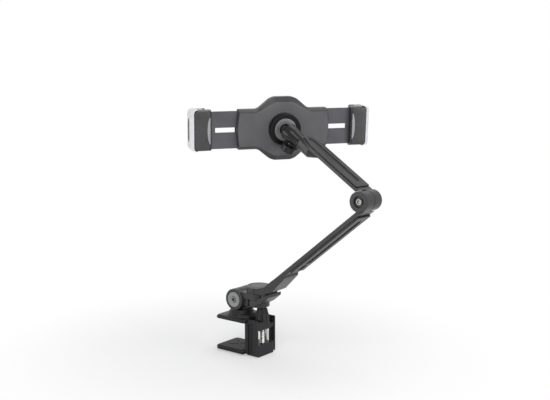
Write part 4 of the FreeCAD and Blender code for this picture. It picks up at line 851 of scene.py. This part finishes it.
@dataclass
class Holder(Assembly):
    """The device holder: collar, cover, slide plates and grips.

    Sizes are in millimetres from the ball's centre: X along the holder, Y towards the device and Z up.
    """

    half_length: float = 70.0  # half the cover's length, without the bow of its ends
    end_bow: float = 3.5  # how far each end bows out
    end_half: float = 30.5  # half the cover's height at its ends
    end_sweep: float = 0.85  # share of that height over which an end's bow is rounded
    bulge_foot: float = 39.5  # X where the bulge starts
    bulge_top: float = 17.5  # X where the bulge reaches its full height
    bulge_half: float = 48.5  # half the cover's height at the bulge
    foot_round: float = 4.5  # rounding where the bulge starts
    bulge_round: float = 7.0  # rounding of the bulge's corners
    face: float = 23.0  # Y of the cover's raised back face
    face_round: float = 1.4  # rounding of that face's edge
    rim: float = 28.5  # Y where the cover's chamfer meets its skirt
    floor: float = 37.5  # Y of the cover's open edge
    front: float = 38.7  # Y of the front plate's outer face
    plate_gap: float = 0.1  # gap between the skirt and the front plate
    wall: float = 1.8  # thickness of the cover's wall
    chamfer: float = 4.6  # width of the chamfer on the slopes of the bulge
    chamfer_shift: float = 3.4  # how much wider it is over the bulge, and narrower at the ends
    end_return: float = 2.4  # how far the skirt turns in at its open ends
    cover_edge: float = 0.35  # rounding of the cover's edges
    cover_smooth: float = 30.0  # the turn that still shows as an edge on it, in degrees
    trim_edge: float = 0.3  # rounding of the front plate's edges and of the painted highlight crescent's
    # Section of the collar ring, with its recess and the way through for the stud: radius and Y.
    ring: Section = ((17.4, 13.4), (17.8, 13.0), (23.3, 13.0), (24.0, 13.7), (24.0, 25.0), (12.3, 25.0),
                     (12.3, 17.4), (6.4, 17.4), (6.4, 15.8), (17.4, 15.8))
    # Section of the satin dish in that recess.
    dish: Section = ((9.0, 15.75), (9.0, 15.3), (9.4, 15.1), (16.4, 14.1), (17.1, 14.3), (17.1, 15.75))
    # Section of the cover's bead round the collar.
    bead: Section = ((24.6, 23.6), (24.6, 22.5), (25.0, 22.2), (26.8, 22.2), (27.6, 23.0), (27.6, 23.6))
    grip_outer: float = 143.8  # X of a grip's outer end
    grip_back: float = 28.0  # Y of a grip's back face
    grip_half: float = 31.0  # half a grip's height
    grip_front: float = 55.2  # Y of a grip's front face
    shell_depth: float = 6.2  # length of the pale shell on a grip's outer end
    shell_gap: float = 0.2  # gap between the shell and the black body
    shell_wrap: float = 6.5  # how far the shell's corners reach round the black body
    shell_proud: float = 0.15  # how far the shell stands proud of the black body
    shell_trim: float = 0.65  # how far its outer face lies inside the grip's outer end
    shell_round: float = 5.9  # radius of the shell's upright edges
    shell_corner: float = 7.6  # radius of its outer corners
    core_corner: float = 6.2  # radius of the black body's corners inside the shell
    core_short: float = 0.6  # how far the black body and the crowned back stop short of the shell
    core_edge: float = 0.6  # rounding of the black body's edges
    slot_at: float = 43.0  # Y of the slot in the shell
    slot_half: float = 5.6  # half the slot's width
    slot_tall: float = 17.7  # half the slot's length
    slot_end: float = 0.98  # rounding of the slot's ends, as a share of half its width
    slot_depth: float = 3.0  # depth of the slot
    slot_shade_sunk: float = 1.0  # how far the black bar of painted shade in the slot lies inside the grip's outer end
    slot_shade_gap: float = 0.05  # gap round that bar
    slot_shade_edge: float = 0.2  # rounding of its edges
    # Lowest and highest corner of the block that its crowned back is raised from.
    pillow: tuple[Point, Point] = ((113.8, 27.7, -29.8), (137.0, 29.4, 29.8))
    pillow_corner: float = 6.0  # radius of its corners
    # How far in and how far up each step of its crown goes.
    pillow_steps: Section = ((0.5, 0.5), (1.2, 0.5), (2.4, 0.45), (3.0, 0.2), (3.0, 0.06))
    pillow_smooth: float = 60.0  # the turn that still shows as an edge on it, in degrees
    highlight_at: Point = (113.6, 27.4, 0.0)  # middle of the oval disc that the crescent of painted highlight is cut from
    highlight_scale: Point = (4.4, 20.0, 3.1)  # its radius along X, its radius along Z and its thickness

    def __post_init__(self) -> None:
        """Works out the holder's own frame from its joints, and X where a grip's shell starts."""
        self.place = frame_matrix(joint("ball_pan")["pos_m"], Vector(joint("right_grip_slide")["axis"]),
                                  Vector(joint("holder_turn")["axis"]))
        self.cut_at = self.grip_outer - self.shell_depth

    def build(self) -> None:
        """Makes the holder's pieces."""
        self.collar()
        self.cover()
        self.front_plate()
        self.finished("front_pads", edge=0.0)
        self.finished("cover_screws", edge=0.15)
        self.keep("turn_washers", "pinion", "left_rack", "right_rack")
        self.grips()

    def outline(self, name: str, inset: float = 0.0) -> Workpiece:
        """The cover's outline as one flat face across Y, drawn out from a plane.

        Args:
            name: the piece's name.
            inset: how far the outline is drawn in.

        Returns:
            The flat face, in millimetres, with its back towards -Y and the bulge's corners rounded.
        """
        foot, side = self.bulge_foot, self.end_half - inset
        top, end = self.bulge_half - inset, self.half_length - inset
        clear_bench()
        bpy.ops.mesh.primitive_plane_add(size=2.0, rotation=(math.radians(90.0), 0.0, 0.0))
        bpy.context.object.scale = (foot, side, 1.0)
        bpy.ops.object.transform_apply(location=True, rotation=True, scale=True)
        piece = Workpiece(bpy.context.object, name)
        for sign in (-1.0, 1.0):
            piece.pick(edges=lambda p, d: abs(p.z - sign * side) < TOUCH and abs(p.x) < TOUCH)
            piece.extrude((0.0, 0.0, sign * (top - side)))
            piece.resize((self.bulge_top / foot, 1.0, 1.0), (0.0, 0.0, sign * top))
            piece.pick(edges=lambda p, d: abs(p.x - sign * foot) < TOUCH and abs(p.z) < TOUCH)
            piece.extrude((sign * (end - foot), 0.0, 0.0))
            piece.pick(edges=lambda p, d: abs(p.x - sign * end) < TOUCH)
            bpy.ops.mesh.subdivide(number_cuts=1)
            piece.pick(points=lambda p: abs(p.x - sign * end) < TOUCH and abs(p.z) < TOUCH)
            piece.shift((sign * 2.0 * self.end_bow, 0.0, 0.0))
        piece.merge_faces()
        piece.pick(points=lambda p: abs(p.z) < TOUCH)
        piece.bevel(side * self.end_sweep, 14, "VERTICES")
        piece.pick(points=lambda p: abs(abs(p.z) - top) < TOUCH)
        piece.bevel(self.bulge_round, 8, "VERTICES")
        piece.pick(points=lambda p: abs(abs(p.z) - side) < TOUCH and abs(abs(p.x) - foot) < CLEAR)
        piece.bevel(self.foot_round, 6, "VERTICES")
        return piece

    def cover(self) -> None:
        """The back shell: a raised face, a chamfer round it with painted shade, and a skirt that is open at both
        ends.
        """
        piece = self.outline("holder_cover_shell")
        raised, end = self.face - self.rim, self.half_length - CLEAR
        halfway = (self.bulge_foot + self.half_length) / 2.0
        piece.pick(faces=lambda p, n: True)
        bpy.ops.mesh.inset(thickness=self.chamfer, depth=-raised)
        for sign in (-1.0, 1.0):
            piece.pick(points=lambda p: p.y < raised + TOUCH and sign * p.z > self.end_half + CLEAR)
            piece.shift((0.0, 0.0, -sign * self.chamfer_shift))
            piece.pick(points=lambda p: p.y < raised + TOUCH and sign * p.x > halfway)
            piece.shift((sign * self.chamfer_shift, 0.0, 0.0))
        piece.pick(edges=lambda p, d: p.y < raised + TOUCH)
        piece.bevel(self.face_round, 3)
        mouth = self.end_half - self.end_return
        piece.pick(edges=lambda p, d: abs(p.y) < TOUCH and not (abs(p.x) > end and abs(p.z) < mouth))
        piece.extrude((0.0, self.floor - self.rim, 0.0))
        piece.modify("SOLIDIFY", thickness=self.wall, offset=-1.0)
        piece.soften(self.cover_edge)
        piece.shade(self.cover_smooth)
        piece.settle(self.place @ Matrix.Translation((0.0, self.rim * MM, 0.0)))
        piece.dress(GREY_ABS, "holder", ["holder_cover"])
        # The chamfer's faces take the darker copy of the grey ABS: painted shade.
        back = self.place.to_3x3() @ Vector((0.0, -1.0, 0.0))
        piece.second_finish(SHADED_EDGE_ABS, lambda p, n: n.dot(back) < PARALLEL)
        self.turned("cover_collar_bead", self.bead, AHEAD, self.place, GREY_ABS, "holder")

    def front_plate(self) -> None:
        """The flat plate that closes the cover on the device's side."""
        piece = self.outline("holder_front_plate", self.plate_gap)
        piece.pick(faces=lambda p, n: True)
        piece.extrude((0.0, self.front - self.floor - self.plate_gap, 0.0))
        piece.face_outwards()
        piece.soften(self.trim_edge)
        piece.shade()
        piece.settle(self.place @ Matrix.Translation((0.0, (self.floor + self.plate_gap) * MM, 0.0)))
        piece.dress(GREY_ABS, "holder", ["holder_front"])

    def collar(self) -> None:
        """The black collar ring, its near black partly painted shade, and the satin dish in its recess."""
        self.turned("collar_ring_turned", self.ring, AHEAD, self.place, BLACK_RING_AND_SHADE, "holder", ["collar_ring"])
        rings = self.place @ Matrix.Rotation(math.radians(-90.0), 4, "X")
        self.turned("collar_dish", self.dish, AHEAD, self.place, SATIN_DISH, "holder",
                    centre=tuple(rings.translation), turn=tuple(rings.to_euler()), tag="collar")

    def grips(self) -> None:
        """Both slide plates and grips, with trim that is modelled once and copied, mirrored on the left."""
        trim = ((self.grip_shell(), "_shell", PALE_SHELL, SMOOTH_ANGLE),
                # The slot's black bar is painted shade inside the slot.
                (self.grip_inlay(), "_inlay", BLACK_RING_AND_SHADE, SMOOTH_ANGLE),
                (self.grip_pillow(), "_back", SOFT_TOUCH, self.pillow_smooth),
                # The pale crescent is a painted highlight.
                (self.grip_strip(), "_strip", GRIP_HIGHLIGHT_STRIP, SMOOTH_ANGLE))
        for side, sign in (("left", -1.0), ("right", 1.0)):
            body, node = side + "_slide", side + "_grip"
            self.finished(side + "_plate", SLATE, edge=0.25, turn=tuple(self.place.to_euler()), tag="holder")
            self.finished(side + "_grip_pad", edge=0.3)
            core = Workpiece.from_node(node, node + "_body")
            core.cut_off(self.place, sign * (self.cut_at - self.core_short) * MM, sign, NODE_CUT)
            core.soften(self.core_edge * MM)
            core.shade()
            core.dress(GLOSS_ABS, body, [node])
            for model, part, finish, smooth in trim:
                piece = model.copy(node + part)
                if side == "left":
                    piece.mirror()
                piece.shade(smooth)
                piece.settle(self.place)
                piece.dress(finish, body)
        for model, *_ in trim:
            bpy.data.objects.remove(model.thing)

    def slot_bar(self, name: str, inner: float, outer: float, margin: float = 0.0) -> Workpiece:
        """A round-ended bar the shape of the slot in the right grip's outer end.

        Args:
            name: the piece's name.
            inner: its X nearest the middle.
            outer: its X farthest out.
            margin: how much smaller than the slot it is all round.

        Returns:
            The bar, in millimetres.
        """
        half, tall = self.slot_half - margin, self.slot_tall - margin
        bar = Workpiece.block(name, (inner, self.slot_at - half, -tall), (outer, self.slot_at + half, tall))
        bar.pick(edges=lambda p, d: abs(d.x) > PARALLEL)
        bar.bevel(half * self.slot_end, 8)
        return bar

    def grip_shell(self) -> Workpiece:
        """The pale shell on the right grip's outer end: a rounded block, less the black body and the slot.

        Returns:
            The shell, in millimetres.
        """
        inner, half = self.cut_at + self.shell_gap, self.grip_half + self.shell_proud
        start, front = inner - self.shell_wrap, self.grip_front + OVERCUT
        back = self.grip_back - OVERCUT
        shell = Workpiece.block("shell_model", (start, self.grip_back - self.shell_proud, -half - CLEAR),
                                (self.grip_outer, self.grip_front, half + CLEAR))
        shell.pick(edges=lambda p, d: abs(d.z) > PARALLEL and p.x > inner + CLEAR)
        shell.bevel(self.shell_round, 8)
        corners = Workpiece.block("corner_cutter", (start - OVERCUT, back, -half),
                                  (self.grip_outer - self.shell_trim, front, half))
        corners.pick(edges=lambda p, d: abs(d.y) > PARALLEL and p.x > inner + CLEAR)
        corners.bevel(self.shell_corner, 10)
        core = Workpiece.block("core_cutter", (start - 2.0 * OVERCUT, back, -half - TOUCH),
                               (inner, front, half + TOUCH))
        core.pick(edges=lambda p, d: abs(d.y) > PARALLEL and p.x > inner - CLEAR)
        core.bevel(self.core_corner, 8)
        slot = self.slot_bar("slot_cutter", self.grip_outer - self.slot_depth, self.grip_outer + OVERCUT)
        for cutter, operation in ((corners, "INTERSECT"), (core, "DIFFERENCE"), (slot, "DIFFERENCE")):
            shell.modify("BOOLEAN", operation=operation, object=cutter.thing, solver="EXACT")
            bpy.data.objects.remove(cutter.thing)
        return shell

    def grip_inlay(self) -> Workpiece:
        """The black bar in the slot of the right grip's shell: painted shade inside the slot.

        Returns:
            The bar, in millimetres.
        """
        bar = self.slot_bar("slot_shade_model", self.grip_outer - self.slot_depth + 2.0 * self.slot_shade_gap,
                            self.grip_outer - self.slot_shade_sunk, self.slot_shade_gap)
        bar.soften(self.slot_shade_edge)
        return bar

    def grip_pillow(self) -> Workpiece:
        """The crowned back of the right grip, raised in steps that shade together.

        Returns:
            The back, in millimetres.
        """
        low, high = self.pillow
        piece = Workpiece.block("back_model", low, high)
        piece.pick(edges=lambda p, d: abs(d.y) > PARALLEL)
        piece.bevel(self.pillow_corner, 6)
        piece.pick(faces=lambda p, n: n.y < -PARALLEL)
        middle, level = (low[0] + high[0]) / 2.0, low[1]
        wide, tall = high[0] - middle, high[2]
        for step, rise in self.pillow_steps:
            piece.extrude((0.0, -rise, 0.0))
            level -= rise
            piece.resize(((wide - step) / wide, 1.0, (tall - step) / tall), (middle, level, 0.0))
            wide -= step
            tall -= step
        return piece

    def grip_strip(self) -> Workpiece:
        """The pale crescent on the inner side of the right grip's back, a painted highlight: half of a flat oval
        disc.

        Returns:
            The crescent, in millimetres.
        """
        clear_bench()
        bpy.ops.mesh.primitive_cylinder_add(vertices=64, radius=1.0, depth=1.0,
                                            rotation=(math.radians(90.0), 0.0, 0.0))
        bpy.context.object.scale = self.highlight_scale
        bpy.context.object.location = self.highlight_at
        bpy.ops.object.transform_apply(location=True, rotation=True, scale=True)
        piece = Workpiece(bpy.context.object, "highlight_model")
        piece.cut_off(Matrix.Identity(4), self.highlight_at[0], -1.0, WELD)
        piece.soften(self.trim_edge)
        return piece


@dataclass
class Studio:
    """The pale floor, the soft lamps and the camera."""

    floor_radius: float = 4.0  # radius of the floor, in metres
    floor_drop: float = 0.0005  # how far the floor lies under the stand, so that they don't share a plane
    fade_start: float = 0.08  # where the floor starts to fade into the white beyond it
    fade_end: float = 0.45  # where it has faded
    near_white: float = 0.4  # share of plain white that the floor shows under the clamp
    ambient: float = 0.38  # strength of the world's light
    # Name, place, target, side in metres and power in watts of each square lamp.
    softboxes: tuple[tuple[str, Point, Point, float, float], ...] = (
        ("key", (0.75, -1.1, 1.1), (0.1, 0.0, 0.15), 0.9, 11.0),
        ("fill", (-0.9, -1.25, 0.12), (0.08, 0.0, 0.2), 0.7, 5.0),
        ("top", (0.1, 0.35, 1.5), (0.1, 0.0, 0.1), 1.0, 6.0),
        ("side", (1.4, 0.3, 0.5), (0.1, 0.0, 0.15), 0.8, 5.0))

    def build(self) -> None:
        """Sets the floor, the world, the lamps and the camera."""
        self.floor()
        self.world()
        self.lamps()
        self.camera()
        bpy.context.scene.view_settings.view_transform = "Standard"

    def floor(self) -> None:
        """A round pale floor just under the clamp, which fades into the white."""
        clear_bench()
        bpy.ops.mesh.primitive_circle_add(vertices=96, radius=self.floor_radius, fill_type="NGON",
                                          location=(0.0, 0.0, cad_box[0][2] - self.floor_drop))
        thing = bpy.context.object
        thing.name = "studio_floor"
        made = bpy.data.materials.new("studio_paper")
        tree = empty_tree(made)
        place = add_node(tree, "TexCoord")
        reach = add_node(tree, "VectorMath", {"operation": "LENGTH"}, {0: place.outputs["Object"]})
        fade = add_node(tree, "MapRange",
                        {"interpolation_type": "SMOOTHSTEP", "From Min": self.fade_start,
                         "From Max": self.fade_end, "To Min": self.near_white, "To Max": 1.0},
                        {"Value": reach.outputs["Value"]})
        rays = add_node(tree, "LightPath")
        seen = add_node(tree, "Math", {"operation": "MAXIMUM"},
                        {0: rays.outputs["Is Camera Ray"], 1: rays.outputs["Is Glossy Ray"]})
        share = add_node(tree, "Math", {"operation": "MULTIPLY"},
                         {0: seen.outputs["Value"], 1: fade.outputs["Result"]})
        paper = add_node(tree, "BsdfDiffuse", {"Color": linear("#FAFAFA")})
        white = add_node(tree, "Emission", {"Color": linear("#FFFFFF"), "Strength": 1.0})
        both = add_node(tree, "MixShader", {},
                        {0: share.outputs["Value"], 1: paper.outputs["BSDF"], 2: white.outputs["Emission"]})
        add_node(tree, "OutputMaterial", {}, {"Surface": both.outputs["Shader"]})
        thing.data.materials.append(made)

    def world(self) -> None:
        """A plain pale world that is white to the camera and in reflections."""
        world = bpy.data.worlds.new("studio_world")
        bpy.context.scene.world = world
        tree = empty_tree(world)
        rays = add_node(tree, "LightPath")
        clear = add_node(tree, "Math", {"operation": "MAXIMUM"},
                         {0: rays.outputs["Is Camera Ray"], 1: rays.outputs["Is Transmission Ray"]})
        seen = add_node(tree, "Math", {"operation": "MAXIMUM"},
                        {0: clear.outputs["Value"], 1: rays.outputs["Is Glossy Ray"]})
        soft = add_node(tree, "Background", {"Color": linear("#F4F5F7"), "Strength": self.ambient})
        white = add_node(tree, "Background", {"Color": linear("#FFFFFF"), "Strength": 1.0})
        both = add_node(tree, "MixShader", {},
                        {0: seen.outputs["Value"], 1: soft.outputs["Background"],
                         2: white.outputs["Background"]})
        add_node(tree, "OutputWorld", {}, {"Surface": both.outputs["Shader"]})

    def lamps(self) -> None:
        """The square softboxes, each turned to its target."""
        for name, place, target, side, watts in self.softboxes:
            light = bpy.data.lights.new(name, "AREA")
            light.shape = "SQUARE"
            light.size = side
            light.energy = watts
            thing = add_object(name, light)
            thing.location = place
            thing.rotation_euler = (Vector(target) - Vector(place)).to_track_quat("-Z", "Y").to_euler()

    def camera(self) -> None:
        """The camera of the photograph."""
        lens = bpy.data.cameras.new("photo_camera")
        lens.lens = CAMERA_LENS
        lens.sensor_width = CAMERA_SENSOR
        lens.clip_start = CAMERA_NEAR
        thing = add_object("photo_camera", lens)
        thing.location = CAMERA_PLACE
        thing.rotation_euler = (math.radians(CAMERA_TILT), 0.0, math.radians(CAMERA_TURN))
        bpy.context.scene.camera = thing


def main() -> None:
    """Builds the stand's sub-assemblies in order, then the studio."""
    logging.basicConfig(level=logging.INFO, format="%(message)s")
    for assembly in (Clamp(), Swivel(), Arms(), Neck(), Holder()):
        log.info("%s", type(assembly).__name__)
        assembly.build()
    Studio().build()


if __name__ == "__main__":
    main()
